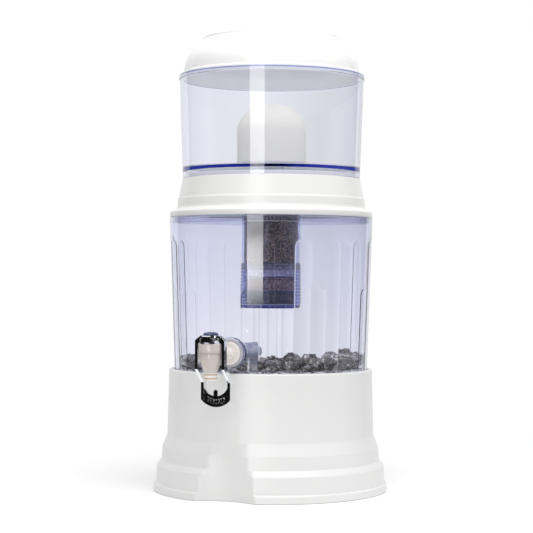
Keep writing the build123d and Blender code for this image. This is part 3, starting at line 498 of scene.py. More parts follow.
chrome = Paint("lever_chrome")
chrome.into(chrome.ramp(chrome.noise(60, 3), [(0.3, (0.82, 0.83, 0.85)), (0.7, (0.9, 0.91, 0.93))]), "Base Color")
chrome.into(chrome.span(chrome.noise(240, 4, 0.6), 0.035, 0.1, 0.35, 0.7), "Roughness")
chrome.bump(chrome.noise(150, 2), 0.05, 0.0003)
chrome.set(Metallic=1.0)
chrome = chrome.mat
knob = Paint("stem_blue_plastic")
knob.into(knob.ramp(knob.noise(110, 3), [(0.3, (0.02, 0.03, 0.075)), (0.7, (0.06, 0.085, 0.17))]), "Base Color")
knob.into(knob.span(knob.noise(200, 3), 0.2, 0.34, 0.3, 0.7), "Roughness")
knob.bump(knob.noise(160, 2), 0.04, 0.0002)
knob.set(IOR=1.5)
knob = knob.mat
steel = Paint("spring_steel")
steel.into(steel.ramp(steel.noise(500, 3), [(0.3, (0.5, 0.51, 0.53)), (0.7, (0.66, 0.67, 0.69))]), "Base Color")
steel.into(steel.span(steel.noise(900, 3), 0.18, 0.34, 0.3, 0.7), "Roughness")
steel.set(Metallic=1.0)
steel = steel.mat

TANK_ABSORB, TANK_DENSITY = (0.06, 0.14, 0.87), 27.0


def clear_plastic(name, density, wave=0.02, shade=(0.988, 0.99, 0.994), absorb=TANK_ABSORB, deeper=None, edge=None):
    p = Paint(name)
    p.set(Roughness=0.0, IOR=1.49, Transmission_Weight=1.0)
    tint = p.ramp(p.noise(30, 2), [(0.3, (0.99, 0.99, 0.994)), (0.7, (1.0, 1.0, 1.0))])
    if deeper:
        # deeper colour towards the rim
        at = p.nt.nodes.new("ShaderNodeSeparateXYZ")
        p.nt.links.new(p.co, at.inputs[0])
        tint = p.mix(1.0, tint, p.ramp(p.span(at.outputs[2], 0.0, 1.0, *deeper), [(0.0, (1.0, 1.0, 1.0)), (1.0, (0.895, 0.912, 0.955))]), "MULTIPLY")
    if edge:
        # the cut rim shows the plastic's own colour
        at = p.nt.nodes.new("ShaderNodeSeparateXYZ")
        p.nt.links.new(p.co, at.inputs[0])
        tint = p.mix(1.0, tint, p.ramp(p.span(at.outputs[2], 0.0, 1.0, *edge), [(0.0, (1.0, 1.0, 1.0)), (1.0, (0.36, 0.42, 0.8))]), "MULTIPLY")
    p.into(tint, "Base Color")
    p.bump(p.noise(38, 2, 0.4, vec=p.stretch(1, 1, 0.35)), wave, 0.0006)
    return p.clear(shade, absorb, density).mat


tank_clear = clear_plastic("tank_clear_plastic", TANK_DENSITY, deeper=(0.19, 0.325))
upper_clear = clear_plastic("upper_tank_clear_plastic", 22.0, absorb=(0.06, 0.2, 0.76), edge=(0.4936, 0.4944))
cartridge_clear = clear_plastic("cartridge_clear_plastic", 70.0)
cup_clear = clear_plastic("cup_clear_plastic", 95.0, absorb=(0.05, 0.18, 0.965))
seal_clear = clear_plastic("clear_silicone", 30.0)

ceramic = Paint("filter_ceramic")
speck = ceramic.noise(700, 3, 0.6)
ceramic.into(
    ceramic.mix(0.35, ceramic.ramp(ceramic.noise(24, 5, 0.6), [(0.3, (0.9, 0.872, 0.8)), (0.7, (0.95, 0.926, 0.86))]), ceramic.ramp(speck, [(0.35, (0.87, 0.843, 0.775)), (0.6, (0.97, 0.946, 0.88))])),
    "Base Color",
)
ceramic.into(ceramic.span(ceramic.noise(300, 3), 0.62, 0.8, 0.3, 0.7), "Roughness")
ceramic.bump(speck, 0.25, 0.00025)
ceramic = ceramic.mat


def grains(name, scale, stops, rough=(0.5, 0.85), fleck=None):
    p = Paint(name)
    cell = p.voronoi(scale)
    pick = p.nt.nodes.new("ShaderNodeSeparateColor")
    p.nt.links.new(cell, pick.inputs[0])
    col = p.ramp(pick.outputs[0], stops)
    shade = p.ramp(p.noise(scale * 2.2, 4, 0.65), [(0.28, (0.45, 0.45, 0.45)), (0.72, (1.35, 1.35, 1.35))])
    p.into(p.mix(1.0, col, shade, "MULTIPLY"), "Base Color")
    p.into(p.span(pick.outputs[1], *rough), "Roughness")
    p.bump(p.noise(scale * 3, 3, 0.6), 0.4, 0.0004)
    p.set(IOR=1.5)
    return p.mat


carbon = grains("carbon_grain", 1250, [(0.0, (0.006, 0.005, 0.006)), (0.5, (0.02, 0.014, 0.014)), (0.64, (0.055, 0.034, 0.028)), (0.78, (0.2, 0.115, 0.08)), (1.0, (0.58, 0.39, 0.27))], (0.35, 0.8))
pale = grains("pale_mineral", 640, [(0.0, (0.3, 0.262, 0.26)), (0.5, (0.46, 0.405, 0.4)), (1.0, (0.68, 0.62, 0.6))])
brown = grains("brown_mineral", 760, [(0.0, (0.08, 0.046, 0.036)), (0.5, (0.23, 0.13, 0.096)), (1.0, (0.54, 0.33, 0.23))])
dark = grains("dark_mineral", 640, [(0.0, (0.014, 0.012, 0.016)), (0.5, (0.05, 0.042, 0.05)), (1.0, (0.14, 0.11, 0.11))])
sand = grains("mineral_sand", 330, [(0.0, (0.08, 0.074, 0.07)), (0.35, (0.3, 0.28, 0.26)), (0.6, (0.7, 0.67, 0.62)), (1.0, (0.97, 0.95, 0.9))])

felt = Paint("filter_felt")
felt.into(felt.ramp(felt.noise(1500, 4, 0.7), [(0.3, (0.03, 0.03, 0.06)), (0.7, (0.09, 0.09, 0.15))]), "Base Color")
felt.bump(felt.noise(1800, 4, 0.7), 0.6, 0.0005)
felt.set(Roughness=0.9)
felt = felt.mat

rock = Paint("lava_stone")
big = rock.noise(95, 6, 0.62)
pits = rock.voronoi(420, "Distance")
tone = rock.ramp(big, [(0.36, (0.06, 0.055, 0.053)), (0.5, (0.28, 0.262, 0.24)), (0.62, (0.86, 0.82, 0.75))])
crack = rock.ramp(rock.noise(260, 5, 0.7, 0.6), [(0.38, (0.14, 0.14, 0.145)), (0.5, (1.0, 1.0, 1.0)), (0.66, (1.7, 1.7, 1.7))])
rock.into(rock.mix(1.0, tone, crack, "MULTIPLY"), "Base Color")
rock.into(rock.span(rock.noise(300, 3), 0.62, 0.9, 0.3, 0.7), "Roughness")
rock.bump(pits, 0.5, 0.0008, rock.bump(rock.noise(330, 6, 0.7, 0.4), 0.8, 0.0014))
rock = rock.mat


# ================================================================ stand
NICHE_R, NICHE_D = 64.0, 187.4


def niche_reach(th, r):
    """How far out from the tanks' axis the niche's wall lies, for each angle from the front."""
    s = NICHE_D * np.sin(th)
    inside = (np.abs(s) < r * 0.9999) & (np.cos(th) > 0)
    return np.where(inside, NICHE_D * np.cos(th) - np.sqrt(np.maximum(r * r - s * s, 0)), 1e3)


def soft_min(a, b, k):
    h = np.clip(0.5 + 0.5 * (b - a) / k, 0, 1)
    return b * (1 - h) + a * h - k * h * (1 - h)


front = np.radians(np.arange(-24, 24.01, 0.3))
rest_of_turn = np.radians(np.linspace(24, 336, 232))[1:-1]
stand_angles = np.concatenate([front, rest_of_turn])
stand_outer = rounded(
    [
        (136.9, 0.0, 0.3), (140.0, 0.0, 0.8), (139.5, 8.2, 1.6), (136.9, 9.6, 1.2), (136.1, 29.4, 3.6), (130.6, 36.2, 1.6), (129.5, 51.6, 4.5),
        (123.6, 66.0, 6.0), (121.7, 144.5, 2.6), (116.3, 144.5, 0.5), (116.3, 128.0, 0.6), (45.0, 128.0, 0.6), (45.0, 124.5, 0.6), (115.0, 124.5, 1.0), (119.0, 118.5, 1.0),
        (120.6, 65.2, 2.0), (126.4, 50.4, 2.0), (127.6, 34.4, 1.0), (133.0, 27.6, 1.0), (134.0, 6.8, 0.8), (136.6, 5.6, 0.6),
    ]
)
outer_count = next(i for i, p in enumerate(stand_outer) if p[0] < 118.0)
stand_rows = {}
for i, p in enumerate(clean(stand_outer)):
    stand_rows[(round(p[0], 4), round(p[1], 4))] = i


def stand_shape(r, z, th):
    i = stand_rows.get((round(r, 4), round(z, 4)), 0)
    is_outer = 3 < i < outer_count or (i <= 3 and r > 138.0)
    if is_outer:
        return np.where(niche_reach(th, NICHE_R) < r + 3.0, soft_min(np.full(th.shape, r), niche_reach(th, NICHE_R), 2.0), r)
    if r > 119.0:
        return np.minimum(r, niche_reach(th, NICHE_R + 3.0))
    return np.full(th.shape, r)


stand = lathe("stand_shell", stand_outer, reshape=stand_shape, angles=stand_angles, sharp=None)
ribs = None
rib_verts, rib_faces = [], []
for k in range(8):
    a = math.radians(45.0 * (k + 0.5))
    c, s = math.cos(a), math.sin(a)
    outline = [(44.4, 127.0), (44.4, 116.3), (45.2, 115.6), (96, 100), (119.6, 86.8), (119.6, 126.0)]
    base = len(rib_verts)
    for side in (-1.2, 1.2):
        rib_verts += [(r * c - side * s, r * s + side * c, z) for r, z in outline]
    n = len(outline)
    rib_faces += [tuple(base + i for i in range(n)), tuple(base + n + i for i in range(n))]
    rib_faces += [(base + i, base + (i + 1) % n, base + n + (i + 1) % n, base + n + i) for i in range(n)]
ribs = mesh_object("stand_ribs_cut", rib_verts, rib_faces, smooth=False)
boolean(stand, ribs, "UNION")
stand.data.polygons.foreach_set("use_smooth", [True] * len(stand.data.polygons))
sharpen(stand, 34)
weighted(stand)
finish_piece(stand, "stand", white, ["base_stand"])

# ================================================================ lower tank
LT_Z0, LT_Z1, LT_R0, LT_R1 = 128.0, 325.0, 115.2, 122.0
WALL, FLUTE_HALF, FLUTE_EDGE = 2.9, 9.6, 1.8
TALL, SHORT = 287.8, 231.2


def r_lower(z):
    return LT_R0 + (z - LT_Z0) * (LT_R1 - LT_R0) / (LT_Z1 - LT_Z0)


def flute_height(u, z, top):
    """How far a round-topped flute stands out from the wall's inner face: a low step and a slight crown."""
    d = abs(u) if z <= top else math.hypot(u, z - top)
    e = min(1.0, max(0.0, (FLUTE_HALF - d) / FLUTE_EDGE))
    core = FLUTE_HALF - FLUTE_EDGE
    return 0.2 * e * e * (3 - 2 * e) + (0.1 * (1 - (d / core) ** 2) if d < core else 0.0)


def fluted_room():
    """The room inside the lower tank. Its wall carries a flute every ten degrees, every fourth one short."""
    turn = [math.sin(math.radians(a)) for a in range(6, 91, 6)]
    z0 = LT_Z0 + 3.5
    zs = [z0 + 5.0 - 5.0 * math.cos(math.radians(a)) for a in range(0, 91, 10)]
    zs += list(np.arange(140.0, SHORT - 1, 6.0)) + [SHORT] + [SHORT + FLUTE_HALF * t for t in turn]
    zs += [SHORT + FLUTE_HALF + k for k in (0.8, 2.4, 4.4, 6.6, 9.0)] + list(np.arange(254.0, TALL - 1, 6.0)) + [TALL] + [TALL + FLUTE_HALF * t for t in turn]
    zs += [TALL + FLUTE_HALF + k for k in (0.8, 2.4, 4.4, 6.6, 9.0)] + [311.0, 318.0, LT_Z1 + 2.0]
    core = FLUTE_HALF - FLUTE_EDGE
    rows = []
    for z in zs:
        wall = r_lower(z) - WALL - 0.3 * min(1.0, max(0.0, (z - 300.0) / 8.0))
        if z < z0 + 5.0:
            wall = r_lower(z0 + 5.0) - WALL - 5.0 + math.sqrt(max(25.0 - (z0 + 5.0 - z) ** 2, 0.0))
        foot = min(1.0, max(0.0, (z - 137.0) / 3.0))
        ring = []
        for j in range(36):
            top = SHORT if j % 4 == 1 else TALL
            rise = z - top
            outer = math.sqrt(max(FLUTE_HALF**2 - rise**2, 0.0)) if rise > 0 else FLUTE_HALF
            inner = math.sqrt(max(core**2 - rise**2, 0.0)) if rise > 0 else core
            if rise > FLUTE_HALF:
                back = min(1.0, (rise - FLUTE_HALF) / 9.0) ** 1.4
                outer, inner = back * FLUTE_HALF, back * core
            inner = max(inner, 0.25)
            outer = max(outer, inner + 0.3)
            us = [outer, inner + 0.75 * (outer - inner), inner + 0.5 * (outer - inner), inner + 0.25 * (outer - inner), inner, 0.85 * inner, 0.65 * inner, 0.42 * inner, 0.2 * inner]
            line = [-u for u in us] + [0.0] + us[::-1]
            for k, u in enumerate([None] + line):
                phi = math.radians(10.0 * j - 5.0) if u is None else math.radians(10.0 * j) + u / wall
                r = wall - (0.0 if u is None else foot * flute_height(u, z, top))
                ring.append((r * math.sin(phi), -r * math.cos(phi), z))
        rows.append(ring)
    n = len(rows[0])
    verts = [v for ring in rows for v in ring]
    faces = [(i * n + k, i * n + (k + 1) % n, (i + 1) * n + (k + 1) % n, (i + 1) * n + k) for i in range(len(rows) - 1) for k in range(n)]
    faces.append(tuple(range(n)))
    faces.append(tuple((len(rows) - 1) * n + k for k in range(n)))
    return mesh_object("room_cut", verts, faces)


def rod_y(name, r, y0, y1, z, seg=96, round_end=0.0):
    """A round bar along Y."""
    prof = [(0.0, y0), (r, y0), (r, y1), (0.0, y1)]
    if round_end:
        prof = rounded([(0.0, y0), (r, y0), (r, y1, round_end), (0.0, y1)], closed=False)
    obj = lathe(name, prof, seg, sharp=None)
    obj.data.transform(Matrix.Translation((0, 0, z * MM)) @ Matrix.Rotation(math.radians(90), 4, "X"))
    return obj


tank = lathe(
    "lower_tank_shell",
    rounded([(0.0, LT_Z0), (LT_R0, LT_Z0, 5.0), (r_lower(190.0), 190.0), (r_lower(260.0), 260.0), (LT_R1, LT_Z1, 0.4), (0.0, LT_Z1)], closed=False, step=8),
    540,
    sharp=None,
)
boolean(tank, rod_y("boss_cut", 18.0, 100.0, 120.6, 167.5, 128, 0.8), "UNION")
room = fluted_room()
boolean(room, rod_y("pad_cut", 16.0, 112.0, 135.0, 167.5, 128), "DIFFERENCE")
boolean(room, rod_y("washer_room", 16.6, 100.0, 111.97, 167.5, 128), "UNION")
boolean(tank, room, "DIFFERENCE")
boolean(tank, rod_y("hole_cut", 8.4, 95.0, 135.0, 167.5, 96), "DIFFERENCE")
tank.data.polygons.foreach_set("use_smooth", [True] * len(tank.data.polygons))
sharpen(tank, 30)
finish_piece(tank, "lower_tank", tank_clear, ["lower_tank"])

# ================================================================ upper tank
UT_R0, UT_R1, UT_Z0, UT_Z1 = 106.5, 110.8, 371.8, 495.4


def r_upper(z):
    return UT_R0 + (z - UT_Z0) * (UT_R1 - UT_R0) / (UT_Z1 - UT_Z0)


upper = lathe(
    "upper_tank_shell",
    rounded(
        [
            (9.4, 380.2, 0.3), (r_upper(380.2) - 3.0, 380.2, 0.8), (r_upper(UT_Z0) - 3.0, UT_Z0, 0.4), (r_upper(UT_Z0), UT_Z0, 0.6), (r_upper(490.8), 490.8, 0.5),
            (111.7, 491.2, 0.3), (111.7, UT_Z1, 1.0), (r_upper(UT_Z1) - 3.0, UT_Z1, 0.5), (r_upper(383.6) - 3.0, 383.6, 2.0), (9.4, 383.6, 0.3),
        ],
        step=9,
    ),
    360,
    sharp=40,
)
weighted(upper)
finish_piece(upper, "upper_tank", upper_clear, ["upper_tank"])

# ================================================================ collar
ring = lathe(
    "collar_ring",
    rounded(
        [
            (118.3, 325.0, 0.3), (121.6, 325.0, 1.4), (121.6, 331.4, 2.4), (113.4, 335.8, 1.8), (112.5, 338.5, 0.6), (112.3, 347.0, 0.8), (111.1, 349.2, 0.6), (106.6, 371.8, 0.8),
            (102.9, 371.8, 0.4), (102.9, 376.6, 0.8), (100.4, 376.6, 0.5), (100.4, 365.5, 0.6), (48.0, 365.5, 0.6), (48.0, 357.5, 0.5), (50.4, 357.5, 0.5), (50.4, 362.5, 0.5), (104.4, 362.5, 1.0),
            (109.2, 345.5, 1.0), (109.2, 333.5, 0.6), (114.3, 330.6, 0.6), (114.3, 325.0, 0.3),
        ]
    ),
    360,
    sharp=40,
)
weighted(ring)
finish_piece(ring, "collar", collar_white, ["collar"])
# the skirt that reaches into the tank's mouth does not show, so it is clear
skirt = lathe("collar_skirt", rounded([(114.3, 317.4, 0.4), (116.3, 317.4, 0.3), (116.3, 323.6, 0.2), (118.3, 323.6, 0.2), (118.3, 324.97, 0.2), (114.3, 324.97, 0.2)]), 360, sharp=40)
weighted(skirt)
finish_piece(skirt, "collar", seal_clear)

# ================================================================ lid
Z = UT_Z1
lid_profile = (
    rounded([(106.0, Z), (109.2, Z, 0.5), (109.2, Z + 2.2, 0.8), (105.3, Z + 4.0, 0.6), (105.2, Z + 5.0)], closed=False)[1:-1]
    + spline([(105.28, Z + 4.4), (104.8, 506.0), (102.4, 514.6), (98.2, 521.9), (92.4, 529.1), (84.9, 536.7)], (-0.02, 1), (-1, 0.95), 40)
    + rounded([(84.9, 536.7), (83.2, 537.8, 0.7), (82.7, 540.6, 0.6), (81.2, 542.2, 0.9), (79.0, 542.5)], closed=False)[1:-1]
    + spline([(80.4, 542.32), (50.0, 544.0), (0.0, 545.0)], (-1, 0.1), (-1, 0), 26)
)
lid_inside = (
    spline([(0.0, 542.4), (50.0, 541.4), (79.6, 539.6)], (1, 0), (1, -0.12), 20)
    + spline([(79.6, 539.6), (90.3, 527.4), (96.0, 520.3), (99.9, 513.6), (102.2, 505.6), (102.6, Z + 4.0)], (1, -1.1), (0.02, -1), 30)[1:]
    + rounded([(102.6, Z + 4.0), (103.2, Z - 4.6, 0.5), (106.3, Z - 4.6, 0.4), (106.9, Z - 3.6, 0.4), (106.9, Z), (107.5, Z)], closed=False)[1:-1]
)
cover = lathe("lid_shell", lid_inside + lid_profile, 360, sharp=34)
weighted(cover)
finish_piece(cover, "lid", lid_white, ["lid"])

# ================================================================ ceramic dome
DR, DS, DT = 41.5, 428.5, 463.0
H = DT - DS
dome_outside = [(DR - 1.0, 389.0), (DR, 390.0), (DR, 409.0)] + spline(
    [(DR, DS), (DR * 0.92, DS + H * 0.39), (DR * 0.71, DS + H * 0.71), (DR * 0.38, DS + H * 0.925), (0.0, DT)], (0, 1), (-1, 0), 48
)
dome_inside = spline([(0.0, DT - 8), ((DR - 8) * 0.71, DS + (H - 8) * 0.71), (DR - 8, DS)], (1, 0), (0, -1), 30) + [(DR - 8, 389.0)]
dome = lathe("ceramic_dome_shell", dome_inside + dome_outside, 200, sharp=40)
weighted(dome)
finish_piece(dome, "upper_tank", ceramic, ["ceramic_dome"])

# ================================================================ cartridge
housing = lathe(
    "cartridge_tube",
    rounded([(33.2, 262.0, 0.2), (35.0, 262.0, 0.2), (35.0, 270.8, 0.2), (35.2, 271.6, 0.3), (35.2, 345.4, 0.4), (33.2, 345.4, 0.4)]),
    192,
    sharp=45,
)
weighted(housing)
finish_piece(housing, "cartridge", cartridge_clear, ["cartridge_housing"])

wave = []
z = 223.0
while z < 269.0:
    wave += [(36.0, z), (36.35, z + 0.35), (36.62, z + 0.8), (36.65, z + 1.0), (36.62, z + 1.2), (36.35, z + 1.65), (36.0, z + 2.0), (35.93, z + 3.0)]
    z += 4.0
cup = lathe(
    "cartridge_cup_shell",
    [(0.0, 217.0), (16.0, 217.0), (34.2, 217.0), (35.0, 217.3), (35.55, 218.2), (35.9, 221.5)] + wave + [(36.0, 270.1), (35.75, 270.4), (35.1, 270.4), (35.0, 270.2), (35.0, 262.0), (33.2, 262.0), (33.2, 221.6), (32.6, 221.0), (16.0, 221.0), (0.0, 221.0)],
    192,
    sharp=45,
)
for k in range(12):
    a = math.radians(30.0 * k)
    n = 10
    outline = [(28.0 - 1.5 + 1.5 * math.cos(t), 1.5 * math.sin(t)) for t in np.linspace(-math.pi / 2, math.pi / 2, n)]
    outline += [(10.0 + 1.5 - 1.5 * math.cos(t), 1.5 * math.sin(t)) for t in np.linspace(math.pi / 2, -math.pi / 2, n)]
    c, s = math.cos(a), math.sin(a)
    turned = [(x * c - y * s, x * s + y * c) for x, y in outline]
    if k == 0:
        slots_v, slots_f = [], []
    b0 = len(slots_v)
    m = len(turned)
    slots_v += [(x, y, zz) for zz in (215.0, 222.0) for x, y in turned]
    slots_f += [tuple(b0 + i for i in range(m)), tuple(b0 + m + i for i in range(m))]
    slots_f += [(b0 + i, b0 + (i + 1) % m, b0 + m + (i + 1) % m, b0 + m + i) for i in range(m)]
boolean(cup, mesh_object("slots_cut", slots_v, slots_f, smooth=False), "DIFFERENCE")
cup.data.polygons.foreach_set("use_smooth", [True] * len(cup.data.polygons))
sharpen(cup, 40)
finish_piece(cup, "cartridge", cup_clear, ["cartridge_cup"])


def bed(name, z0, z1, material, node, size, deep, seed):
    """A column of grains: its wall has a bump for each grain."""
    r0, step = 32.75, 0.42
    seg, nz = 420, max(6, int((z1 - z0 - 1.2) / step))
    th = np.linspace(0, 2 * math.pi, seg, endpoint=False)
    zz = np.linspace(z0 + 0.6, z1 - 0.6, nz)
    tt, hh = np.meshgrid(th, zz)
    d, d2, which = cells2(tt * r0, hh, size, wrap=2 * math.pi * r0, seed=seed)
    dd, _, _ = cells2(tt * r0 + 3.1, hh + 1.7, size * 0.45, wrap=2 * math.pi * r0, seed=seed + 3)
    r = r0 - deep * np.clip(d / 0.75, 0, 1) ** 2 - deep * 0.35 * _rand[which, 2] - 0.18 * np.clip(dd, 0, 1)
    verts = [(0.0, 0.0, z0)] + [((r0 - 1.2) * math.sin(a), -(r0 - 1.2) * math.cos(a), z0) for a in th]
    verts += list(zip((r * np.sin(tt)).ravel(), (-r * np.cos(tt)).ravel(), hh.ravel()))
    verts += [((r0 - 1.2) * math.sin(a), -(r0 - 1.2) * math.cos(a), z1) for a in th] + [(0.0, 0.0, z1)]
    rows = [1 + i * seg for i in range(nz + 2)]
    faces = [(0, rows[0] + k, rows[0] + (k + 1) % seg) for k in range(seg)]
    for a, b in zip(rows[:-1], rows[1:]):
        faces += [(a + k, a + (k + 1) % seg, b + (k + 1) % seg, b + k) for k in range(seg)]
    last = len(verts) - 1
    faces += [(rows[-1] + k, rows[-1] + (k + 1) % seg, last) for k in range(seg)]
    return finish_piece(mesh_object(name, verts, faces), "cartridge", material, [node])


bed("carbon_grains", 270.6, 343.4, carbon, "carbon_bed", 1.9, 0.75, 1)
bed("pale_grains", 254.6, 268.6, pale, "pale_mineral_bed", 1.7, 0.6, 2)
bed("brown_grains", 238.2, 252.6, brown, "brown_mineral_bed", 1.8, 0.65, 3)
bed("dark_grains", 222.1, 236.2, dark, "dark_mineral_bed", 1.9, 0.7, 4)

# ================================================================ sand and stones
def gravel():
    r1, step = 110.8, 1.05
    seg = 620
    radii = np.concatenate([[6.0], np.arange(12.0, 60.0, 4.0), np.arange(60.0, r1 - 0.4, step), [r1]])
    th = np.linspace(0, 2 * math.pi, seg, endpoint=False)
    rr, tt = np.meshgrid(radii, th, indexing="ij")
    x, y = rr * np.sin(tt), -rr * np.cos(tt)
    d, d2, which = cells2(x, y, 3.0, seed=7)
    e, _, other = cells2(x + 40.0, y + 11.0, 1.7, seed=9)
    z = 144.0 + (1.15 + 0.9 * np.clip((rr - 94.0) / 6.0, 0, 1)) * np.sqrt(np.clip(1 - (d / 0.72) ** 2, 0, 1)) * (0.5 + 0.5 * _rand[which, 2]) + 0.45 * np.sqrt(np.clip(1 - (e / 0.75) ** 2, 0, 1)) * _rand[other, 3]
    z = z + 0.35 * perlin(np.stack([x.ravel() / 14, y.ravel() / 14, np.zeros(x.size)], 1)).reshape(x.shape)
    verts = [(0.0, 0.0, 144.6)] + list(zip(x.ravel(), y.ravel(), z.ravel()))
    rows = [1 + i * seg for i in range(len(radii))]
    for r, zz in ((110.7, 141.0), (109.8, 137.6), (107.8, 134.2), (104.6, 131.8)):
        rows.append(len(verts))
        verts += [(r * math.sin(a), -r * math.cos(a), zz) for a in th]
    faces = [(0, rows[0] + k, rows[0] + (k + 1) % seg) for k in range(seg)]
    for a, b in zip(rows[:-1], rows[1:]):
        faces += [(a + k, a + (k + 1) % seg, b + (k + 1) % seg, b + k) for k in range(seg)]
    last = len(verts)
    verts.append((0.0, 0.0, 131.8))
    faces += [(rows[-1] + k, rows[-1] + (k + 1) % seg, last) for k in range(seg)]
    return finish_piece(mesh_object("sand_bed", verts, faces), "lower_tank", sand, ["mineral_sand"])


gravel()

# centre, direction of the short axis, long and short half-lengths, as in the CAD part
STONES = [
    (58.29, -78.78, 157.59, 0.866, 0.5, 0.0, 12.2, 10.2), (39.39, -90.67, 151.83, 0.0, 0.0, 1.0, 10.8, 6.6), (32.45, -69.63, 154.4, 0.185, 0.093, 0.978, 11.0, 9.0),
    (16.3, -70.8, 150.81, 0.0, 0.0, 1.0, 5.0, 5.6), (70.33, -52.37, 155.65, 0.275, 0.186, 0.943, 11.2, 10.2), (88.7, -38.38, 156.77, 0.766, -0.643, 0.002, 11.4, 10.2),
    (75.59, -69.98, 148.94, -0.002, -0.001, 1.0, 8.8, 3.8), (92.46, 8.03, 157.36, 0.272, 0.0, 0.962, 14.0, 11.8), (99.61, -16.67, 150.38, 0.0, 0.0, 1.0, 8.0, 5.2),
    (96.3, 32.55, 154.92, 0.0, 0.001, 1.0, 10.2, 9.6), (-86.34, -50.45, 153.27, 0.0, 0.0, 1.0, 9.8, 8.0), (-72.59, -68.89, 154.2, 0.186, 0.186, 0.965, 10.2, 8.8),
    (-55.01, -84.71, 150.18, 0.0, 0.0, 1.0, 8.6, 5.0), (-34.72, -95.38, 149.35, 0.0, 0.0, 1.0, 8.0, 4.2), 
    (-1.47, -83.99, 148.74, 0.0, 0.0, 1.0, 7.0, 3.6), (-94.66, -25.36, 151.41, 0.0, 0.0, 1.0, 10.5, 6.2), (50.02, -51.79, 151.62, 0.0, 0.0, 1.0, 9.0, 6.4),
    (69.47, -25.38, 152.8, 0.182, 0.182, 0.966, 9.4, 7.4), (69.83, -4.88, 151.21, 0.0, 0.0, 1.0, 9.0, 6.0), (-39.0, -67.55, 149.97, 0.0, 0.0, 1.0, 8.6, 4.8),
    (-62.26, -43.59, 150.59, 0.0, 0.0, 1.0, 9.2, 5.4), (82.84, 55.85, 149.85, 0.076, 0.076, 0.994, 9.4, 4.6), (62.35, 74.36, 149.38, 0.004, -0.049, 0.999, 10.2, 4.2),
    (39.16, 92.07, 149.25, -0.109, -0.028, 0.994, 9.0, 4.0), (8.57, 97.75, 149.68, -0.021, -0.105, 0.994, 10.4, 4.4), (-20.7, 97.71, 149.27, -0.108, 0.119, 0.987, 9.2, 3.9),
    (-49.04, 84.94, 149.61, 0.036, -0.063, 0.997, 10.0, 4.4), (-73.56, 66.14, 149.47, -0.016, 0.115, 0.993, 9.4, 4.2), (-91.45, 40.59, 149.91, 0.095, 0.082, 0.992, 10.2, 4.6),
    (-98.6, 8.63, 150.39, -0.027, -0.002, 1.0, 10.0, 5.2), (63.54, 33.88, 150.26, 0.046, -0.114, 0.992, 9.0, 5.0), (32.99, 57.21, 149.79, 0.013, -0.055, 0.998, 10.0, 4.6),
    (-5.82, 65.82, 149.5, 0.095, -0.11, 0.989, 8.6, 4.2), (-43.75, 52.01, 150.05, 0.045, 0.092, 0.995, 9.6, 4.8), (-67.57, 18.05, 150.27, -0.07, 0.102, 0.992, 9.0, 5.0),
    (41.28, 7.4, 150.75, 0.094, -0.121, 0.988, 10.0, 5.4), (-38.14, -21.91, 150.7, 0.054, -0.129, 0.99, 9.4, 5.4), (27.0, -32.16, 150.8, 0.001, -0.017, 1.0, 9.0, 5.6),
    (5.97, 33.52, 150.23, -0.075, -0.044, 0.996, 9.6, 5.0), (-31.24, 18.03, 150.23, 0.079, -0.047, 0.996, 9.2, 5.0), (13.22, -4.83, 150.45, -0.09, 0.051, 0.995, 9.4, 5.2),
    (-8.2, -22.6, 150.01, -0.013, 0.078, 0.997, 8.6, 4.8),
]


def ball(levels):
    bm = bmesh.new()
    bmesh.ops.create_icosphere(bm, subdivisions=levels, radius=1.0)
    bm.verts.ensure_lookup_table()
    v = np.array([x.co[:] for x in bm.verts])
    f = [tuple(w.index for w in x.verts) for x in bm.faces]
    bm.free()
    return v, f


def stones():
    verts, faces = [], []
    sphere, tri = ball(5)
    plain, plain_tri = ball(4)
    for i, (x, y, z, ux, uy, uz, a, c) in enumerate(STONES):
        s, f = (sphere, tri) if i < 21 else (plain, plain_tri)
        up = Vector((ux, uy, uz)).normalized()
        turn = np.array(up.to_track_quat("Z", "Y").to_matrix() @ Matrix.Rotation(2.4 * i, 3, "Z"))
        box = np.sign(s) * np.abs(s) ** 0.86
        box /= np.maximum(np.linalg.norm(box, axis=1), 1e-9)[:, None] ** 0.55
        size = np.array([a, a * (0.86 + 0.12 * _rand[(i * 7) & 255, 0]), c])
        p = s * 1.0 + 13.7 * i
        lump = 0.16 * fbm(p * 1.25, 3)
        fold = 1.0 - np.abs(perlin(p * 2.3 + 5.0)) * 2.2
        crease = 0.12 * np.clip(fold, 0, 1) ** 2
        rough = 0.15 * fbm(p * 4.6 + 2.0, 4, 0.62)
        pock = -0.16 * np.clip(perlin(p * 6.2 + 9.0) - 0.12, 0, 1)
        k = 0.98 + lump - crease + rough + pock
        q = (box * k[:, None] * size) @ turn.T + np.array([x, y, z + 0.5])
        q[:, 2] = np.maximum(q[:, 2], 144.2)
        reach = np.hypot(q[:, 0], q[:, 1])
        q[:, :2] *= np.minimum(1.0, 110.9 / np.maximum(reach, 1e-6))[:, None]
        base = len(verts)
        verts += list(map(tuple, q))
        faces += [tuple(base + w for w in t) for t in f]
    return finish_piece(mesh_object("lava_stones", verts, faces), "lower_tank", rock, ["mineral_stones"])


stones()

# ================================================================ tap lever
BY, PY, HALF = 174.0, 157.5, 3.4
X0, X1 = 14.4, 17.8


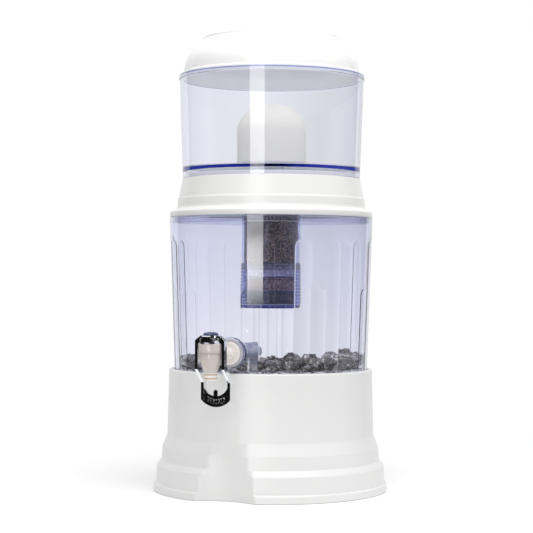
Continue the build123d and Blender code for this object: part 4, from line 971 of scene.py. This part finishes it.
def arc3(a, m, b, n):
    """Points of the circle through three points, from a to b."""
    ax, ay, bx, by, cx, cy = *a, *m, *b
    d = 2 * (ax * (by - cy) + bx * (cy - ay) + cx * (ay - by))
    ux = ((ax * ax + ay * ay) * (by - cy) + (bx * bx + by * by) * (cy - ay) + (cx * cx + cy * cy) * (ay - by)) / d
    uy = ((ax * ax + ay * ay) * (cx - bx) + (bx * bx + by * by) * (ax - cx) + (cx * cx + cy * cy) * (bx - ax)) / d
    r = math.hypot(ax - ux, ay - uy)
    t0, tm, t1 = (math.atan2(q[1] - uy, q[0] - ux) for q in (a, m, b))
    def after(t):
        return (t - t0) % (2 * math.pi)
    sweep = after(t1) if after(tm) < after(t1) else after(t1) - 2 * math.pi
    return [(ux + r * math.cos(t0 + sweep * i / (n - 1)), uy + r * math.sin(t0 + sweep * i / (n - 1))) for i in range(n)]


def lever_piece():
    arm = [(-BY - HALF, 182.0), (-BY - HALF, 152.0), (-PY - HALF, 136.8), (-PY - HALF, 117.0), (-PY + HALF, 117.0), (-PY + HALF, 139.7), (-BY + HALF, 154.9), (-BY + HALF, 182.0)]
    body = prism("tap_lever_chrome", arm, "yz", -X1, -X0)
    parts = [prism("arm_right", arm, "yz", X0, X1)]
    bar = rounded(
        [(-X1, 178.0), (-X1, 184.0, 2.5), (-10.6, 189.4, 3.0), (10.6, 189.4, 3.0), (X1, 184.0, 2.5), (X1, 178.0), (X0, 178.0), (X0, 179.9, 1.0), (8.6, 184.0, 1.0), (-8.6, 184.0, 1.0), (-X0, 179.9, 1.0), (-X0, 178.0)],
        step=15,
    )
    parts.append(prism("bar", bar, "xz", -BY - HALF, -BY + HALF))
    pad = rounded([(-8.0, -178.6, 1.5), (8.0, -178.6, 1.5), (8.0, -167.5, 1.5), (-8.0, -167.5, 1.5)], step=22)
    parts.append(prism("pad", pad, "xy", 186.2, 189.4))
    tongue = rounded([(-187.0, 181.9), (-187.0, 189.4, 1.5), (-176.0, 189.4), (-176.0, 186.2), (-179.0, 186.2), (-180.2, 184.4), (-180.2, 181.9)], step=22)
    parts.append(prism("tongue", tongue, "yz", -5.0, 5.0))
    paddle = (
        [(-X1, 117.5), (-X1, 138.0), (-X0, 138.0)]
        + arc3((-X0, 131.5), (0.0, 121.6), (X0, 131.5), 25)
        + [(X0, 138.0), (X1, 138.0)]
        + arc3((X1, 117.5), (0.0, 109.4), (-X1, 117.5), 29)[:-1]
    )
    parts.append(prism("paddle", paddle, "xz", -160.6, -156.4))
    tab = [(-2.6, 118.0)] + [(-2.6 * math.cos(t), 126.0 + 2.6 * math.sin(t)) for t in np.linspace(0, math.pi, 15)] + [(2.6, 118.0)]
    parts.append(prism("tab", tab, "xz", -160.6, -156.4))
    for k in range(-3, 4):
        cx, cz = 3.2 * k, 115.6 + 0.028 * (3.2 * k) ** 2
        slot_line = [(cx + 0.75 * math.cos(t), cz + 1.85 + 0.75 * math.sin(t)) for t in np.linspace(0, math.pi, 9)]
        slot_line += [(cx + 0.75 * math.cos(t), cz - 1.85 + 0.75 * math.sin(t)) for t in np.linspace(math.pi, 2 * math.pi, 9)]
        parts.append(prism(f"grip{k + 3}", slot_line, "xz", -161.2, -160.0))
    for p in parts:
        boolean(body, p, "UNION")
    pin = lathe("pin_cut", [(0.0, -9.0), (1.56, -9.0), (1.56, 9.0), (0.0, 9.0)], 48, sharp=None)
    pin.data.transform(Matrix.Translation((0, -183.0 * MM, 184.4 * MM)) @ Matrix.Rotation(math.radians(90), 4, "Y"))
    boolean(body, pin, "DIFFERENCE")
    stem = lathe("stem_cut", [(0.0, 180.0), (4.2, 180.0), (4.2, 192.0), (0.0, 192.0)], 48, centre=(0.0, -BY), sharp=None)
    boolean(body, stem, "DIFFERENCE")
    bm = bmesh.new()
    bm.from_mesh(body.data)
    bmesh.ops.remove_doubles(bm, verts=bm.verts, dist=2e-6)
    bmesh.ops.dissolve_limit(bm, angle_limit=math.radians(0.6), verts=bm.verts, edges=bm.edges)
    bm.to_mesh(body.data)
    bm.free()
    body.data.polygons.foreach_set("use_smooth", [True] * len(body.data.polygons))
    bevelled(body, 0.42, 3, 28)
    weighted(body)
    return finish_piece(body, "lever", chrome, ["tap_lever"])


lever_piece()

# ================================================================ valve spring
def spring_piece():
    """The coil round the valve stem."""
    lo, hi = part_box("valve_spring")
    wire, radius = 0.45, 4.2
    z0, turns = lo[2] / MM + wire, 5.5
    rise = (hi[2] - lo[2]) / MM - 2 * wire
    n, m = int(turns * 40), 12
    verts, faces = [], []
    for i in range(n + 1):
        t = 2 * math.pi * turns * i / n
        out = (math.cos(t), math.sin(t))
        c = (radius * out[0], -BY + radius * out[1], z0 + rise * i / n)
        for k in range(m):
            a = 2 * math.pi * k / m
            verts.append((c[0] + wire * math.cos(a) * out[0], c[1] + wire * math.cos(a) * out[1], c[2] + wire * math.sin(a)))
    for i in range(n):
        faces += [(i * m + k, i * m + (k + 1) % m, (i + 1) * m + (k + 1) % m, (i + 1) * m + k) for k in range(m)]
    faces += [tuple(range(m)), tuple(n * m + k for k in range(m))]
    coil = mesh_object("valve_coil", verts, faces)
    finish_piece(coil, "lower_tank", steel, ["valve_spring"])
    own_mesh(coil)
    return coil


spring_piece()

# ================================================================ CAD pieces that keep their shape
KEPT = {
    "tap_body": cream, "tap_bonnet": bonnet, "lever_pin": steel, "valve_stem": knob, "valve_cup": tip, "spout_tip": tip,
    "tap_washer_outer": washer, "tap_washer_inner": washer, "tap_nut": fitting, "inlet_elbow": fitting, "dip_tube": tube, "collar_seal": seal_clear,
    "dome_base": white, "dome_gasket": washer, "floor_washer": washer, "stem_nut": white, "cartridge_cap": white, "cartridge_seal": washer,
    "outlet_screen": white, "filter_pads": felt,
}
for node, mat in KEPT.items():
    o = NODES[node]
    o.data.materials.clear()
    o.data.materials.append(mat)

# ================================================================ stage, camera, light
AZ = math.radians(22.3)
floor_mat = Paint("pale_floor")
floor_mat.into(floor_mat.ramp(floor_mat.noise(1.5, 3), [(0.3, (0.955, 0.955, 0.955)), (0.7, (0.97, 0.97, 0.97))]), "Base Color")
floor_mat.set(Roughness=0.9, Specular_IOR_Level=0.1)
floor = mesh_object("floor", [(640 * math.cos(t), 640 * math.sin(t), -0.3) for t in np.linspace(0, 2 * math.pi, 128, endpoint=False)], [tuple(range(128))], smooth=False)
floor.data.materials.append(floor_mat.mat)

cam_data = bpy.data.cameras.new("camera")
cam_data.lens = 106.77
cam_data.sensor_width = 36.0
cam_data.clip_end = 100.0
cam = link(bpy.data.objects.new("camera", cam_data))
D = 1.9047
cam.location = (D * math.sin(AZ), -D * math.cos(AZ), 0.25424)
look = Matrix.Rotation(AZ + math.radians(0.1624), 4, "Z") @ Matrix.Rotation(math.radians(90.378), 4, "X") @ Matrix.Rotation(math.radians(0.24), 4, "Z")
cam.rotation_euler = look.to_euler()
scene.camera = cam

world = bpy.data.worlds.new("studio")
scene.world = world
world.use_nodes = True
world.cycles.sampling_method = "NONE"
wn = world.node_tree
wn.nodes.clear()
w_out = wn.nodes.new("ShaderNodeOutputWorld")
w_co = wn.nodes.new("ShaderNodeTexCoord").outputs["Generated"]


def w_math(op, a, b=0.0, c=0.0):
    n = wn.nodes.new("ShaderNodeMath")
    n.operation = op
    for s, v in zip(n.inputs, (a, b, c)):
        if isinstance(v, bpy.types.NodeSocket):
            wn.links.new(v, s)
        else:
            s.default_value = v
    return n.outputs[0]


def w_dot(v):
    n = wn.nodes.new("ShaderNodeVectorMath")
    n.operation = "DOT_PRODUCT"
    wn.links.new(w_co, n.inputs[0])
    n.inputs[1].default_value = v
    return n.outputs["Value"]


def w_step(v, lo, hi):
    n = wn.nodes.new("ShaderNodeMapRange")
    n.interpolation_type = "SMOOTHSTEP"
    n.inputs["From Min"].default_value = lo
    n.inputs["From Max"].default_value = hi
    wn.links.new(v, n.inputs["Value"])
    return n.outputs["Result"]


to_cam = (math.sin(AZ), -math.cos(AZ), 0.0)
to_right = (math.cos(AZ), math.sin(AZ), 0.0)
fwd, side, up = w_dot(to_cam), w_dot(to_right), w_dot((0, 0, 1))
bearing = w_math("ARCTAN2", side, fwd)
# in mirrors: a white wall behind, a dark room in front, a soft ceiling, and one tall strip beside the camera
wall = w_math("ADD", w_step(bearing, math.radians(136), math.radians(138)), w_step(bearing, math.radians(-130), math.radians(-132)))
ceiling = w_step(up, 0.5, 0.75)
strip = w_math(
    "MULTIPLY",
    w_math("MULTIPLY", w_step(bearing, math.radians(-27.4), math.radians(-26.6)), w_step(bearing, math.radians(-8.3), math.radians(-9.1))),
    w_math("MULTIPLY", w_step(up, -0.093, -0.066), w_step(up, 0.8, 0.7)),
)
right = w_math("MULTIPLY", w_step(bearing, math.radians(35), math.radians(75)), w_step(bearing, math.radians(125), math.radians(100)))
strip_level = w_math("ADD", w_math("MULTIPLY", w_step(up, 0.01, -0.03), 7.6), 5.4)
mirror = w_math("ADD", w_math("MULTIPLY", wall, 0.9), 0.008)
mirror = w_math("ADD", mirror, w_math("MULTIPLY", ceiling, 1.0))
mirror = w_math("ADD", mirror, w_math("MULTIPLY", right, 0.25))
# on matt surfaces: an even dome of light, stronger from above and from the right
even = w_math("ADD", w_math("MULTIPLY", up, 0.15), w_math("MULTIPLY", side, 0.07))
even = w_math("ADD", even, w_math("MULTIPLY", w_math("MAXIMUM", fwd, 0.0), 0.12))
even = w_math("ADD", even, w_math("MULTIPLY", w_step(w_math("ABSOLUTE", up), 0.34, 0.24), 0.4))
even = w_math("ADD", even, w_math("MULTIPLY", w_step(up, -0.24, -0.34), 0.5))
even = w_math("MAXIMUM", w_math("ADD", even, 0.47), 0.05)
w_path = wn.nodes.new("ShaderNodeLightPath")
pick = wn.nodes.new("ShaderNodeMix")
pick.data_type = "FLOAT"
wn.links.new(w_path.outputs["Is Diffuse Ray"], pick.inputs[0])
wn.links.new(mirror, pick.inputs[2])
wn.links.new(even, pick.inputs[3])
inside = w_path.outputs["Is Transmission Ray"]
lamp = w_math("MULTIPLY", w_math("MULTIPLY", strip, strip_level), w_math("SUBTRACT", 1.0, w_math("MAXIMUM", w_math("MULTIPLY", inside, 0.85), w_path.outputs["Is Diffuse Ray"])))
light = w_math("ADD", w_math("ADD", pick.outputs[0], lamp), w_math("MULTIPLY", inside, 0.35))
# seen directly or through the clear walls: the white backdrop, a little weaker to the right behind the walls
through = w_math("MULTIPLY", w_path.outputs["Is Transmission Ray"], w_step(fwd, 0.3, 0.0))
seen = w_math("MAXIMUM", w_path.outputs["Is Camera Ray"], through)
backdrop = w_math("SUBTRACT", 1.0, w_math("MULTIPLY", through, w_math("ADD", 0.02, w_math("MULTIPLY", w_step(side, -0.01, 0.06), 0.15))))
w_mix = wn.nodes.new("ShaderNodeMix")
w_mix.data_type = "FLOAT"
wn.links.new(seen, w_mix.inputs[0])
wn.links.new(light, w_mix.inputs[2])
wn.links.new(backdrop, w_mix.inputs[3])
w_bg = wn.nodes.new("ShaderNodeBackground")
w_bg.inputs["Color"].default_value = (1.0, 1.0, 1.0, 1.0)
wn.links.new(w_mix.outputs[0], w_bg.inputs["Strength"])
wn.links.new(w_bg.outputs[0], w_out.inputs["Surface"])


def soft_box(name, where, aim, size, watts, shape="RECTANGLE"):
    data = bpy.data.lights.new(name, "AREA")
    data.shape = shape
    data.size, data.size_y = size
    data.energy = watts
    o = link(bpy.data.objects.new(name, data))
    o.location = where
    o.rotation_euler = (Vector(aim) - Vector(where)).to_track_quat("-Z", "Y").to_euler()
    o.visible_camera = False
    o.visible_transmission = False
    return o


soft_box("top_box", (0.35, -0.5, 2.2), (0, 0, 0.1), (1.6, 1.6), 34.0)
